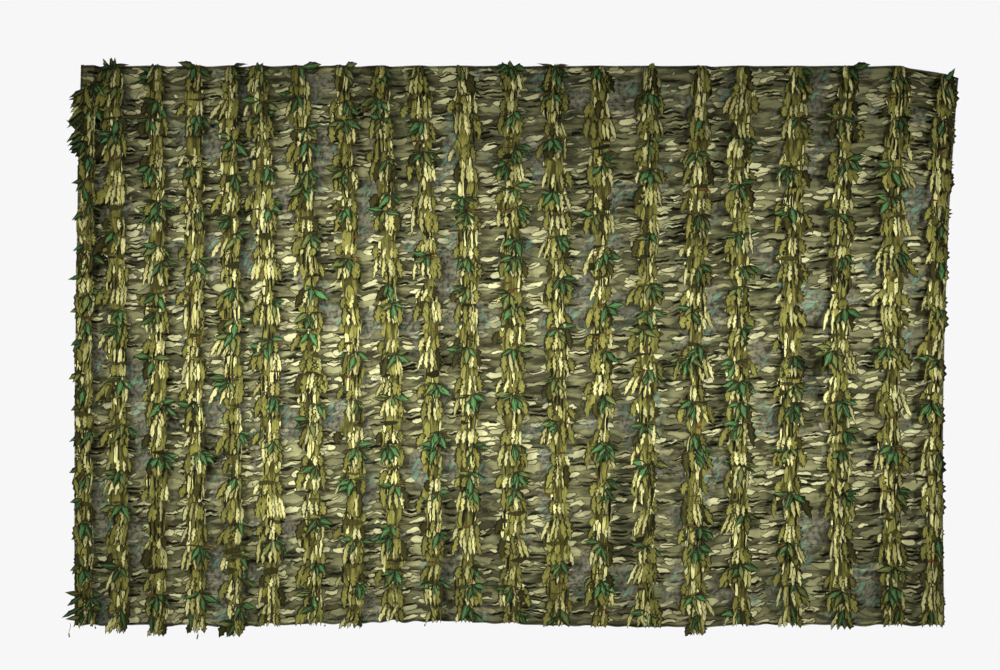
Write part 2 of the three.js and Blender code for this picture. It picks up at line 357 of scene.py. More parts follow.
class Hanging:
    """The panel's middle surface as it hangs: points by row and column, and their places on flat cloth."""

    def __init__(self, hem_width):
        hem_shares = np.array(HEM_ROWS) * (hem_width / PANEL_DROP)
        inner = np.linspace(hem_shares[-1], 1 - hem_shares[-1], PANEL_ROWS)[1:-1]
        self.shares = np.concatenate([hem_shares, inner, 1 - hem_shares[::-1]])
        self.down = self.shares * PANEL_DROP
        self.seam_columns = []
        columns = []
        flat = []
        left_margin = STRIPS[0].middle - LEFT_EDGE.middle
        for along in np.arange(MARGIN_STEPS) / MARGIN_STEPS:
            columns.append(self.margin(LEFT_EDGE, 0, along))
            flat.append((along - 1) * left_margin)
        start = 0
        for gap in range(LAST):
            self.seam_columns.append(len(columns))
            for along in np.arange(GAP_STEPS) / GAP_STEPS:
                columns.append(self.in_gap(gap, along))
                flat.append(start + along * cloth_in(gap))
            start += cloth_in(gap)
        self.seam_columns.append(len(columns))
        right_margin = RIGHT_EDGE.middle - STRIPS[LAST].middle
        for along in np.arange(MARGIN_STEPS, -1, -1) / MARGIN_STEPS:
            columns.append(self.margin(RIGHT_EDGE, LAST, along))
            flat.append(start + (1 - along) * right_margin)
        self.points = np.stack(columns, axis=1)
        self.flat = np.array(flat) - flat[0]
        self.flat_width = self.flat[-1]
        self.wrinkle()

    def seam(self, strip):
        x = across_at(STRIPS[strip], self.shares)
        z = height_at(x, STRIPS[strip].hem, self.shares)
        return np.stack([x, crest_at(strip, self.shares), z], axis=-1)

    def margin(self, edge, strip, along):
        """Column of points in a side margin, from 0 at the panel's edge to 1 at the nearest seam."""
        seam = self.seam(strip)
        x = mix(across_at(edge, self.shares), seam[:, 0], along)
        y = seam[:, 1] + EDGE_CURL * (1 - along) ** 2
        z = height_at(x, mix(edge.hem, STRIPS[strip].hem, along), self.shares)
        return np.stack([x, y, z], axis=-1)

    def in_gap(self, gap, along):
        points = mix(self.seam(gap), self.seam(gap + 1), along)
        uneven = 1 + FOLD_SPREAD * uneven_field(FOLD_WAVES, gap)(self.down)
        points[:, 1] += fold_depth(gap, self.shares) * valley(along) * uneven
        points[:, 2] -= VALLEY_SAG * valley(along) * self.shares
        return points

    def wrinkle(self):
        """Adds sway, fine ripples, creases, and puckers along the seams."""
        across, down = np.meshgrid(self.flat, self.down)
        x, z = self.points[:, :, 0], self.points[:, :, 2]
        to_seam = np.abs(across[:, :, None] - self.flat[self.seam_columns]).min(axis=2)
        sewn = np.exp(-((to_seam / PUCKER_REACH) ** 2))
        shift = SWAY * uneven_field(SWAY_WAVES)(across, down)
        shift += RIPPLE * uneven_field(RIPPLE_WAVES)(across, down) * (1 - sewn)
        shift += PUCKER * uneven_field(PUCKER_WAVES)(across * PUCKER_STRETCH, down) * sewn
        for crease in CREASES:
            shift += trough(crease, x, z)
        self.points[:, :, 1] += shift
        near_hem = (down / PANEL_DROP) ** HEM_WAVE_FALL
        self.points[:, :, 2] += HEM_WAVE * uneven_field(HEM_WAVES)(across) * near_hem

    def row_at(self, share):
        """The panel's points across the cover at any share of the drop."""
        after = int(np.clip(np.searchsorted(self.shares, share), 1, len(self.shares) - 1))
        span = self.shares[after] - self.shares[after - 1]
        return mix(self.points[after - 1], self.points[after], (share - self.shares[after - 1]) / span)

    def kept_on(self, x, share, length, splay, overhang):
        """A leaf's splay, drawn in where its tip would reach too far past the cover's edges."""
        left = across_at(LEFT_EDGE, share) - overhang
        right = across_at(RIGHT_EDGE, share) + RIGHT_OVERHANG
        lean = math.asin(min(max(math.sin(splay), (x - right) / length), (x - left) / length))
        return lean if math.cos(splay) > 0 else math.pi - lean

    def face_at(self, share, x):
        row = self.row_at(share)
        return np.interp(x, row[:, 0], row[:, 1])


class StripShape:
    """A strip's ribbon, sewn to the hanging panel down its middle and free at its cut edges."""

    def __init__(self, strip, hanging):
        self.hanging = hanging
        self.strip = strip
        self.seam = hanging.points[:, hanging.seam_columns[strip]]
        self.top = self.seam[0, 2]
        self.foot = self.seam[-1, 2]
        self.head = self.top + STRIPS[strip].head
        self.tail = self.foot - STRIPS[strip].tail
        self.start = min(self.head, self.top)
        self.section = (self.head - self.tail) / (STRIP_SECTIONS - 1)
        first, last = self.start - RIBBON_TOP_INSET, self.foot + RIBBON_FOOT_INSET
        self.heights = np.linspace(first, last, RIBBON_ROWS)
        self.cut, self.lift = (
            {side: uneven_field(waves, 2 * strip + (side > 0)) for side in (-1, 1)}
            for waves in (CUT_WAVES, LIFT_WAVES)
        )
        self.swell = uneven_field(SWELL_WAVES, strip)

    def share_at(self, z):
        return np.clip((self.top - z) / (self.top - self.foot), 0, 1)

    def lobe_at(self, z, side):
        """How far out a cut edge is, from 0 in a notch to 1 at a drooping tip, left and right by turns."""
        sections = (self.head - LOBE_DROOP - z) / self.section
        phase = (sections / 2 + LOBE_TIP_AT + (0.5 if side > 0 else 0)) % 1
        return phase / LOBE_TIP_AT if phase < LOBE_TIP_AT else (1 - phase) / (1 - LOBE_TIP_AT)

    def room_beside(self, side, share):
        """How far the ribbon may reach to one side: its share of the gap, or to about the panel's edge."""
        seam = across_at(STRIPS[self.strip], share)
        if side < 0 and self.strip == 0:
            return seam - across_at(LEFT_EDGE, share)
        if side > 0 and self.strip == LAST:
            return across_at(RIGHT_EDGE, share) - seam + RIGHT_OVERHANG
        return ROOM_SHARE * gap_at(self.strip - 1 if side < 0 else self.strip, share)

    def reach_at(self, z, side):
        share = self.share_at(z)
        change = -WRAP_NARROWING if side > 0 else WRAP_WIDENING
        flat = mix(NOTCH_HALF_WIDTH, LOBE_HALF_WIDTH, self.lobe_at(z, side))
        down = self.top - z
        flat *= 1 + CUT_SPREAD * self.cut[side](down) + SWELL_SPREAD * self.swell(down)
        from_end = min(self.head - z, z - self.tail) / self.section
        flat = mix(TAIL_HALF_WIDTH, flat, min(max(from_end, 0), 1)) * RIBBON_SHARE
        reach = flat * (1 + change * float(wrap_at(self.strip, share)))
        return min(reach, self.room_beside(side, share))

    def at(self, z, across):
        """Points of the ribbon at one height, at shares of its reach from -1 to 1."""
        across = np.atleast_1d(np.asarray(across, float))
        share = self.share_at(z)
        seam_x, seam_y = (np.interp(share, self.hanging.shares, self.seam[:, axis]) for axis in (0, 1))
        points = np.empty((len(across), 3))
        for column, offset in enumerate(across):
            side = 1 if offset > 0 else -1
            lift = mix(NOTCH_LIFT, LOBE_LIFT, self.lobe_at(z, side))
            lift *= 1 + LIFT_SPREAD * self.lift[side](self.top - z)
            rise = lift * abs(offset) ** LIFT_CURVE
            points[column] = (seam_x + offset * self.reach_at(z, side), seam_y - RIBBON_BACK - rise, z)
        limit = self.hanging.face_at(share, points[:, 0]) - RIBBON_BACK
        points[:, 1] = np.minimum(points[:, 1], limit)
        return points

    def turn_at(self, z, across):
        """How far the ribbon's face turns about the upright at a place on it."""
        near, far = self.at(z, (across - TURN_STEP, across + TURN_STEP))
        return math.atan2(far[1] - near[1], far[0] - near[0])


# Mesh building


def new_object(name, mesh):
    piece = bpy.data.objects.new(name, mesh)
    bpy.context.collection.objects.link(piece)
    return piece


def new_mesh(name, corners, faces=(), edges=()):
    mesh = bpy.data.meshes.new(name)
    mesh.from_pydata(corners, edges, faces)
    return mesh


def closed_sheet(name, points, thickness, flat):
    """A closed sheet about a grid of points, its face towards -Y, with a UV map in metres of flat cloth."""
    rows, columns = points.shape[:2]
    out = np.cross(np.gradient(points, axis=0), np.gradient(points, axis=1))
    out /= np.linalg.norm(out, axis=-1, keepdims=True)
    half = np.broadcast_to(np.asarray(thickness) / 2, (rows, columns))[..., None]
    corners = np.concatenate([(points + side * out * half).reshape(-1, 3) for side in (1, -1)])
    count = rows * columns
    index = np.arange(count).reshape(rows, columns)
    face = np.stack([index[:-1, :-1], index[1:, :-1], index[1:, 1:], index[:-1, 1:]], axis=-1)
    face = face.reshape(-1, 4)
    rim = np.concatenate([index[0, :-1], index[:-1, -1], index[-1, :0:-1], index[:0:-1, 0]])
    onward = np.roll(rim, -1)
    edge = np.stack([rim, onward, onward + count, rim + count], axis=-1)
    faces = np.concatenate([face, face[:, ::-1] + count, edge])
    mesh = new_mesh(name, corners.tolist(), faces.tolist())
    print_map = mesh.uv_layers.new(name="print")
    both = np.concatenate([flat.reshape(-1, 2)] * 2)
    print_map.data.foreach_set("uv", both[faces.ravel()].ravel())
    return mesh


def soften(mesh, angle=40):
    """Smooth shading, but for edges sharper than an angle in degrees."""
    mesh.shade_smooth()
    mesh.set_sharp_from_angle(angle=math.radians(angle))


def add_attribute(mesh, name, kind, values):
    layer = mesh.attributes.new(name, kind, "POINT")
    field = {"FLOAT": "value", "INT": "value", "FLOAT_VECTOR": "vector", "FLOAT_COLOR": "color"}[kind]
    layer.data.foreach_set(field, np.asarray(values).ravel())


class LeafForm(NamedTuple):
    """A leaf's outline and bend. Widths are shares of its width, other sizes shares of its length."""

    widths: tuple
    curl: float
    cup: float
    twist: float
    sway: float
    jag: float


LEAF_FORMS = (
    LeafForm((0.22, 0.62, 0.92, 1.0, 0.86, 0.6, 0.3), 0.16, 0.05, 0.25, 0.03, 0.0),
    LeafForm((0.16, 0.5, 0.78, 1.0, 0.98, 0.72, 0.36), -0.1, 0.08, -0.3, -0.04, 0.1),
    LeafForm((0.3, 0.84, 1.0, 0.84, 0.7, 0.46, 0.22), 0.24, 0.04, 0.4, 0.05, -0.1),
    LeafForm((0.6, 0.8, 0.76, 1.0, 0.9, 0.7, 0.3), 0.1, -0.03, -0.3, -0.06, 0.24),
    LeafForm((0.7, 0.72, 0.96, 0.86, 1.0, 0.56, 0.36), -0.05, 0.04, 0.2, 0.08, -0.26),
    LeafForm((0.5, 0.84, 0.7, 1.0, 0.7, 0.76, 0.24), 0.18, -0.05, 0.5, -0.1, 0.34),
)
LEAVES = (0, 1, 2)
FLAPS = (3, 4, 5)
LEAF_RIB = 0.005
LEAF_RING = ((-1, 0, 1), (0, -LEAF_RIB, 0), (1, 0, 1), (0, LEAF_RIB, 0))
LEAF_TWIST_DEPTH = 0.35
LEAF_PRINT_WIDTH = 20 * MM
LEAF_PRINT_LENGTH = 60 * MM
LEAF_SHARP = 70


def leaf_mesh(name, form):
    """A leaf of unit size that hangs from the origin, face towards -Y, thin at its edges."""
    corners = [(0, 0, 0)]
    rims = [1]
    for step, width in enumerate(form.widths, start=1):
        along = step / (len(form.widths) + 1)
        bow = -form.curl * along**2
        turn = form.twist * along
        middle = form.sway * math.sin(math.pi * along)
        uneven = form.jag * (-1) ** step
        for side, offset, rim in LEAF_RING:
            half = width / 2 * (1 + side * uneven)
            x = middle + side * half * math.cos(turn)
            back = side * half * math.sin(turn) * LEAF_TWIST_DEPTH + abs(side) * form.cup
            corners.append((x, bow + offset - back, -along))
            rims.append(rim)
    corners.append((0, -form.curl, -1))
    rims.append(1)
    tip = len(corners) - 1
    ring_starts = range(1, tip, 4)
    faces = []
    for ring in range(4):
        beside = (ring + 1) % 4
        faces.append((0, 1 + ring, 1 + beside))
        for low in ring_starts[:-1]:
            faces.append((low + ring, low + 4 + ring, low + 4 + beside, low + beside))
        faces.append((ring_starts[-1] + ring, tip, ring_starts[-1] + beside))
    mesh = new_mesh(name, corners, faces)
    print_map = mesh.uv_layers.new(name="print")
    for loop in mesh.loops:
        x, _, z = corners[loop.vertex_index]
        print_map.data[loop.index].uv = (x * LEAF_PRINT_WIDTH, z * LEAF_PRINT_LENGTH)
    add_attribute(mesh, "rim", "FLOAT", rims)
    soften(mesh, LEAF_SHARP)
    return mesh


def spindle_mesh(name, length, width):
    """A stitch: a short bar along X with pointed ends."""
    half = width / 2
    corners = [(-length / 2, half, 0), (length / 2, half, 0)]
    for x in (-length / 3, length / 3):
        corners += [(x, -half, 0), (x, 0, half), (x, half, 0), (x, 0, -half)]
    faces = []
    for ring in range(4):
        beside = (ring + 1) % 4
        faces.append((0, 2 + beside, 2 + ring))
        faces.append((2 + ring, 2 + beside, 6 + beside, 6 + ring))
        faces.append((1, 6 + ring, 6 + beside))
    mesh = new_mesh(name, corners, faces)
    mesh.shade_smooth()
    return mesh


# A path nearer than this to X takes another helper direction
MOSTLY_X = 0.8


def tube(path, radius, sides):
    """Corners and faces of a thin closed tube along a path."""
    path = np.asarray(path, float)
    along = np.gradient(path, axis=0)
    along /= np.linalg.norm(along, axis=1, keepdims=True)
    helper = np.where(np.abs(along[:, :1]) > MOSTLY_X, np.array([[0.0, 0, 1]]), np.array([[1.0, 0, 0]]))
    side = np.cross(along, helper)
    side /= np.linalg.norm(side, axis=1, keepdims=True)
    up = np.cross(along, side)
    angles = np.arange(sides)[None, :, None] * 2 * np.pi / sides
    ring = np.cos(angles) * side[:, None] + np.sin(angles) * up[:, None]
    corners = (path[:, None] + radius * ring).reshape(-1, 3).tolist()
    faces = []
    for step in range(len(path) - 1):
        for n in range(sides):
            low, beside = step * sides + n, step * sides + (n + 1) % sides
            faces.append((low, beside, beside + sides, low + sides))
    ends = (tuple(range(sides))[::-1], tuple(range(len(corners) - sides, len(corners))))
    return corners, faces + list(ends)


def join_tubes(name, tubes):
    corners, faces = [], []
    for more_corners, more_faces in tubes:
        start = len(corners)
        corners += more_corners
        faces += [tuple(start + n for n in face) for face in more_faces]
    mesh = new_mesh(name, corners, faces)
    mesh.shade_smooth()
    return mesh


# Node building


class Graph:
    """Adds nodes to a tree and links them."""

    def __init__(self, tree):
        self.tree = tree
        tree.nodes.clear()

    def add(self, kind, inputs=None, **settings):
        """A new node with settings, and with values or links for inputs by name or number."""
        node = self.tree.nodes.new(kind)
        for name, value in settings.items():
            setattr(node, name, value)
        for key, value in (inputs or {}).items():
            self.feed(node.inputs[key], value)
        return node

    def feed(self, socket, value):
        if isinstance(value, bpy.types.NodeSocket):
            self.tree.links.new(value, socket)
        else:
            socket.default_value = value

    def math(self, operation, *values):
        return self.add("ShaderNodeMath", dict(enumerate(values)), operation=operation).outputs[0]

    def times(self, one, other):
        return self.math("MULTIPLY", one, other)

    def less(self, one, other):
        return self.math("SUBTRACT", one, other)

    def line(self, value, slope, start):
        return self.math("MULTIPLY_ADD", value, slope, start)

    def blend(self, share, below, above):
        return self.add("ShaderNodeMix", {0: share, 6: below, 7: above}, data_type="RGBA").outputs[2]

    def step(self, value, low, high):
        """0 below low, 1 above high, and smooth between."""
        inputs = dict(enumerate((value, low, high, 0.0, 1.0)))
        return self.add("ShaderNodeMapRange", inputs, interpolation_type="SMOOTHSTEP").outputs[0]

    def scale(self, shade, factor):
        return self.add("ShaderNodeVectorMath", {0: shade, "Scale": factor}, operation="SCALE").outputs[0]

    def pair(self, x, y, z=0.0):
        return self.add("ShaderNodeCombineXYZ", {0: x, 1: y, 2: z}).outputs[0]

    def split(self, vector):
        return self.add("ShaderNodeSeparateXYZ", {0: vector}).outputs

    def noise(self, vector, scale, detail=2.0):
        inputs = {"Vector": vector, "Scale": scale, "Detail": detail}
        return self.add("ShaderNodeTexNoise", inputs, noise_dimensions="2D").outputs

    def chance(self, vector, dimensions):
        return self.add("ShaderNodeTexWhiteNoise", {"Vector": vector}, noise_dimensions=dimensions).outputs

    def grain(self, u, v, across, along, detail):
        """Stretched noise, with its fineness each way of the cloth."""
        return self.noise(self.pair(self.times(u, across), self.times(v, along)), 1.0, detail)["Fac"]

    def blots(self, vector, scale, low, high):
        """Soft blots where a noise rises from low to high."""
        return self.step(self.noise(vector, scale, BLOT_DETAIL)["Fac"], low, high)

    def mark(self, value, low, high, strength):
        """A share that rises with a value, from 0 at low to its strength at high."""
        return self.times(self.step(value, low, high), strength)

    def threads(self, u, v, fineness):
        """Waves of the threads each way of the cloth."""
        return [self.math("SINE", self.times(way, fineness)) for way in (u, v)]

    def surface(self, inputs):
        """Ends a material with a principled surface."""
        made = self.add("ShaderNodeBsdfPrincipled", inputs).outputs["BSDF"]
        self.add("ShaderNodeOutputMaterial", {"Surface": made})

    def attribute(self, name, kind):
        node = self.add("GeometryNodeInputNamedAttribute", {"Name": name}, data_type=kind)
        return node.outputs["Attribute"]

    def realized(self, geometry, material):
        """Instances made into plain geometry of one material."""
        real = self.add("GeometryNodeRealizeInstances", {"Geometry": geometry}).outputs["Geometry"]
        inputs = {"Geometry": real, "Material": material}
        return self.add("GeometryNodeSetMaterial", inputs).outputs["Geometry"]


def new_tree(name, kind, inputs, outputs):
    """A node tree with sockets of given types, its graph, what it is given and where its results go."""
    tree = bpy.data.node_groups.new(name, kind)
    for in_out, sockets in (("INPUT", inputs), ("OUTPUT", outputs)):
        for socket, value in sockets.items():
            tree.interface.new_socket(socket, in_out=in_out, socket_type=f"NodeSocket{value}")
    graph = Graph(tree)
    return tree, graph, graph.add("NodeGroupInput").outputs, graph.add("NodeGroupOutput").inputs


def new_material(name):
    material = bpy.data.materials.new(name)
    material.use_nodes = True
    return material, Graph(material.node_tree)


def opaque(rgb):
    return (*rgb, 1.0)


def shades(colours, *names):
    return [opaque(getattr(colours, name)) for name in names]


# Prints. Numbers in brackets are what the Graph method or function that they go to takes


class Stroke(NamedTuple):
    """A layer of strokes in a print: the colours it varies between, its size in millimetres, its share."""

    dark: str
    light: str
    length: float
    breadth: float
    cover: float
    outline: float


class Brush(NamedTuple):
    """How a print's strokes are laid: their ends and edges, the patches they come in, the outlines."""

    taper: float
    softness: float
    patch_scale: float
    patchiness: float
    outline: str


MESH_BRUSH = Brush(3.6, 0.12, 5.0, 3.0, "outline")
MESH_STROKES = (
    Stroke("mesh_taupe", "mesh_tan", 104, 40, 0.8, 0.04),
    Stroke("mesh_tan", "mesh_cream", 60, 24, 0.3, 0.08),
    Stroke("mesh_dark", "mesh_taupe", 84, 28, 0.34, 0.05),
    Stroke("mesh_cream", "mesh_cream", 52, 21, 0.26, 0.1),
    Stroke("mesh_cream", "mesh_tan", 32, 13, 0.16, 0.14),
    Stroke("outline", "outline", 60, 10, 0.28, 0.0),
)
SPRAY_BRUSH = Brush(2.0, 0.16, 5.0, 3.0, "mesh_dark")
SPRAY_STROKES = (Stroke("mesh_teal", "mesh_teal", 70, 30, 0.55, 0.08),)
STRIP_BRUSH = Brush(4.5, 0.08, 9.0, 5.0, "outline")
STRIP_STROKES = (
    Stroke("olive", "olive", 72, 40, 0.5, 0.05),
    Stroke("straw", "cream", 66, 15, 0.24, 0.14),
    Stroke("olive", "olive", 50, 26, 0.3, 0.09),
    Stroke("cream", "cream", 62, 13.5, 0.2, 0.18),
    Stroke("outline", "outline", 64, 8.5, 0.3, 0.0),
)
BREAK_BRUSH = Brush(2.4, 0.12, 11.0, 5.0, "outline")
BREAK_STROKES = (
    Stroke("outline", "bark", 66, 24, 0.24, 0.03),
    Stroke("russet", "bark", 42, 8, 0.05, 0.06),
)
STROKE_TILT = 0.6
STROKE_WANDER = 0.3
STROKE_ENDS = 2.15
STROKE_FULLNESS = (0.2, 0.2)
FIRST_STROKE_SEED = 3
PRINT_SHIFT = 0.37
BLOT_DETAIL = 3.0
ROUGHNESS = 0.92
SHINE = 0.12
RELIEF = 0.35
MESH_WARP = ((20.0, 20 * MM, 18 * MM), (80.0, 7 * MM, 5 * MM))
MESH_GRAIN = (14.0, 70.0, 3.0)
MESH_GROUND = (0.3, 0.7)
MESH_SHADE = (1.0, 0.5)
HAZE = (7.5, 0.52, 0.64)
HAZE_STRENGTH = 0.78
SPECKS = (90.0, 0.3, 0.62)
NET_FINENESS = 2900.0
NET_HOLES = (0.55, 0.9, 0.5)
NET_RELIEF = 0.3 * MM
STRIP_ATTRIBUTES = {"tint": "Color", "shift": "Vector", "rim": "Fac", "leafy": "Fac", "cut_out": "Fac"}
STRIP_WARP = ((14.0, 7 * MM, 20 * MM), (80.0, 3.5 * MM, 5 * MM))
STRIP_GRAIN = (90.0, 14.0, 3.0)
STRIP_GROUND = (0.35, 0.75)
STREAKS = (330.0, 45.0, 2.0)
STREAK_SHADE = (1.6, 0.2)
LEAF_CONTRAST = (0.8, 1.6)
LEAF_LEAST_SHADE = (-0.4, 0.2)
CRACKS = (0.6, 0.66, 0.7)
RIB_HALF_WIDTHS = (0.8 * MM, 2 * MM)
RIB_STRENGTH = 0.4
PALE_RIM = (0.4, 0.6, 0.45)
# Painted shadow near the roots of leaves and flaps: how far along the leaf it reaches, and its strength
PAINTED_ROOT_SHADOW_SPAN = (-26 * MM, 0.0)
PAINTED_ROOT_SHADOW_STRENGTH = (0.2, 0.55)
RIM_RAGGEDNESS = 0.7
CUT_OUT_RIM = 0.26
OUTLINE_AND_PAINTED_SHADOW_RIM = (0.72, 0.92, 0.92)
WEAVE_FINENESS = 6300.0
WEAVE_RELIEF = 0.15 * MM


def stroke_tree():
    """Node group: a layer of brush strokes, one in each cell of an uneven grid.

    A stroke of high taper has blunt ends, one of low taper long points, and a soft one a blurred edge.
    Mask is the stroke, Halo the stroke with its dark outline, Tone a value for each stroke.
    """
    names = ("Along", "Across", "Length", "Breadth", "Taper", "Softness", "Seed", "Cover", "Outline")
    inputs, outputs = (dict.fromkeys(sockets, "Float") for sockets in (names, ("Mask", "Halo", "Tone")))
    tree, graph, given, result = new_tree("Stroke layer", "ShaderNodeTree", inputs, outputs)
    across = graph.math("DIVIDE", given["Across"], given["Breadth"])
    row = graph.math("FLOOR", across)
    row_shift = graph.chance(graph.pair(row, given["Seed"]), "2D")["Value"]
    along = graph.math("ADD", graph.math("DIVIDE", given["Along"], given["Length"]), row_shift)
    cell = graph.chance(graph.pair(graph.math("FLOOR", along), row, given["Seed"]), "3D")
    chance = graph.split(cell["Color"])
    in_cell = graph.less(graph.math("FRACT", along), 0.5)
    over = graph.less(graph.math("FRACT", across), 0.5)
    over = graph.line(graph.less(chance[0], 0.5), graph.times(in_cell, STROKE_TILT), over)
    over = graph.line(graph.less(chance[1], 0.5), STROKE_WANDER, over)
    from_middle = graph.math("ABSOLUTE", graph.times(in_cell, STROKE_ENDS))
    taper = graph.math("POWER", from_middle, given["Taper"])
    half = graph.times(graph.less(1.0, taper), graph.line(chance[2], *STROKE_FULLNESS))
    inside = graph.less(half, graph.math("ABSOLUTE", over))
    shown = graph.math("LESS_THAN", cell["Value"], given["Cover"])
    for name, depth in (("Mask", inside), ("Halo", graph.math("ADD", inside, given["Outline"]))):
        graph.feed(result[name], graph.times(graph.step(depth, 0.0, given["Softness"]), shown))
    graph.feed(result["Tone"], chance[1])
    return tree


def paint_strokes(graph, colours, along, across, base, layers, brush):
    """Lays strokes over a base colour, the first at the bottom, thicker in some patches than in others."""
    strokes = bpy.data.node_groups.get("Stroke layer") or stroke_tree()
    shade = base
    drift = graph.split(graph.noise(graph.pair(along, across), brush.patch_scale)["Color"])
    for number, layer in enumerate(layers):
        plenty = graph.line(drift[number % 3], brush.patchiness, 1 - brush.patchiness / 2)
        inputs = {
            "Along": along,
            "Across": across,
            "Length": layer.length * MM,
            "Breadth": layer.breadth * MM,
            "Taper": brush.taper,
            "Softness": brush.softness,
            "Seed": float(number + FIRST_STROKE_SEED),
            "Cover": graph.times(plenty, layer.cover),
            "Outline": layer.outline,
        }
        made = graph.add("ShaderNodeGroup", inputs, node_tree=strokes).outputs
        rim, low, high = shades(colours, brush.outline, layer.dark, layer.light)
        shade = graph.blend(made["Halo"], shade, rim)
        shade = graph.blend(made["Mask"], shade, graph.blend(made["Tone"], low, high))
    return shade


def warped(graph, coordinates, pushes):
    """Coordinates of flat cloth, pushed about unevenly so that strokes have ragged edges."""
    x, y, _ = graph.split(coordinates)
    for scale, x_reach, y_reach in pushes:
        push = graph.split(graph.noise(coordinates, scale)["Color"])
        x = graph.line(graph.less(push[0], 0.5), x_reach, x)
        y = graph.line(graph.less(push[1], 0.5), y_reach, y)
    return x, y


def cloth_surface(graph, shade, height, distance):
    """Matt cloth with a fine relief."""
    relief = graph.add("ShaderNodeBump", {"Strength": RELIEF, "Distance": distance, "Height": height})
    look = {"Base Color": shade, "Roughness": ROUGHNESS, "Specular IOR Level": SHINE}
    graph.surface(look | {"Normal": relief.outputs["Normal"]})


def mesh_material(colours):
    """Printed mesh: level strokes in taupe and cream, hazy patches and faint leaves, with a fine net."""
    material, graph = new_material("printed_mesh")
    coordinates = graph.add("ShaderNodeUVMap", uv_map="print").outputs["UV"]
    x, y = warped(graph, coordinates, MESH_WARP)
    u, v, _ = graph.split(coordinates)
    dark, taupe, smoke, outline = shades(colours, "mesh_dark", "mesh_taupe", "mesh_smoke", "outline")
    grain = graph.grain(u, v, *MESH_GRAIN)
    ground = graph.blend(graph.step(grain, *MESH_GROUND), dark, taupe)
    shade = paint_strokes(graph, colours, x, y, ground, MESH_STROKES, MESH_BRUSH)
    smoky = graph.blend(graph.blots(coordinates, *SPECKS), dark, smoke)
    slant, rise = graph.math("ADD", x, y), graph.less(y, x)
    sprayed = paint_strokes(graph, colours, slant, rise, smoky, SPRAY_STROKES, SPRAY_BRUSH)
    haze = graph.times(graph.blots(coordinates, *HAZE), HAZE_STRENGTH)
    shade = graph.blend(haze, shade, sprayed)
    shade = graph.scale(shade, graph.line(grain, *MESH_SHADE))
    net = graph.times(*graph.threads(u, v, NET_FINENESS))
    shade = graph.blend(graph.mark(net, *NET_HOLES), shade, outline)
    cloth_surface(graph, shade, net, NET_RELIEF)
    return material


def strip_material(colours):
    """Leaf cloth: upright reed strokes on the ribbon, streaked flaps and leaves, and dark cut edges, partly
    painted shadow.
    """
    material, graph = new_material("leaf_cloth")
    flat = graph.add("ShaderNodeUVMap", uv_map="print").outputs["UV"]
    tint, shift, rim, leafy, cut_out = (
        graph.add("ShaderNodeAttribute", attribute_name=name).outputs[output]
        for name, output in STRIP_ATTRIBUTES.items()
    )
    coordinates = graph.add("ShaderNodeVectorMath", {0: flat, 1: shift}, operation="ADD").outputs[0]
    x, y = warped(graph, coordinates, STRIP_WARP)
    u, v, _ = graph.split(coordinates)
    bark, olive, vein, outline = shades(colours, "bark", "olive", "vein", "outline")
    ground = graph.blend(graph.step(graph.grain(u, v, *STRIP_GRAIN), *STRIP_GROUND), bark, olive)
    printed = paint_strokes(graph, colours, y, x, ground, STRIP_STROKES, STRIP_BRUSH)
    printed = paint_strokes(graph, colours, x, y, printed, BREAK_STROKES, BREAK_BRUSH)
    streak = graph.grain(u, v, *STREAKS)
    printed = graph.scale(printed, graph.line(streak, *STREAK_SHADE))
    contrast, least = (graph.line(leafy, *amount) for amount in (LEAF_CONTRAST, LEAF_LEAST_SHADE))
    leaf = graph.scale(tint, graph.line(streak, contrast, least))
    leaf = graph.blend(graph.mark(streak, *CRACKS), leaf, outline)
    leaf_u, leaf_v, _ = graph.split(flat)
    off_rib = graph.step(graph.math("ABSOLUTE", leaf_u), *RIB_HALF_WIDTHS)
    rib = graph.times(graph.less(1.0, off_rib), RIB_STRENGTH)
    pale = graph.math("MAXIMUM", rib, graph.mark(rim, *PALE_RIM))
    leaf = graph.blend(graph.times(pale, leafy), leaf, vein)
    # Painted shadow: leaves and flaps turn darker towards their roots, where the pieces above would shade
    # them
    root = graph.times(graph.step(leaf_v, *PAINTED_ROOT_SHADOW_SPAN), graph.line(leafy, *PAINTED_ROOT_SHADOW_STRENGTH))
    leaf = graph.blend(root, leaf, outline)
    shade = graph.blend(cut_out, printed, leaf)
    # Dark rim along the cut edges of leaves and flaps: partly an outline like the print's, partly painted
    # shadow at the edges
    ragged = graph.line(graph.less(streak, 0.5), RIM_RAGGEDNESS, rim)
    edge = graph.mark(graph.line(cut_out, CUT_OUT_RIM, ragged), *OUTLINE_AND_PAINTED_SHADOW_RIM)
    shade = graph.blend(edge, shade, outline)
    weave = graph.math("ADD", *graph.threads(u, v, WEAVE_FINENESS))
    cloth_surface(graph, shade, weave, WEAVE_RELIEF)
    return material


def thread_material(colours):
    material, graph = new_material("thread")
    graph.surface({"Base Color": opaque(colours.thread), "Roughness": 0.8, "Specular IOR Level": 0.2})
    return material


# Geometry nodes


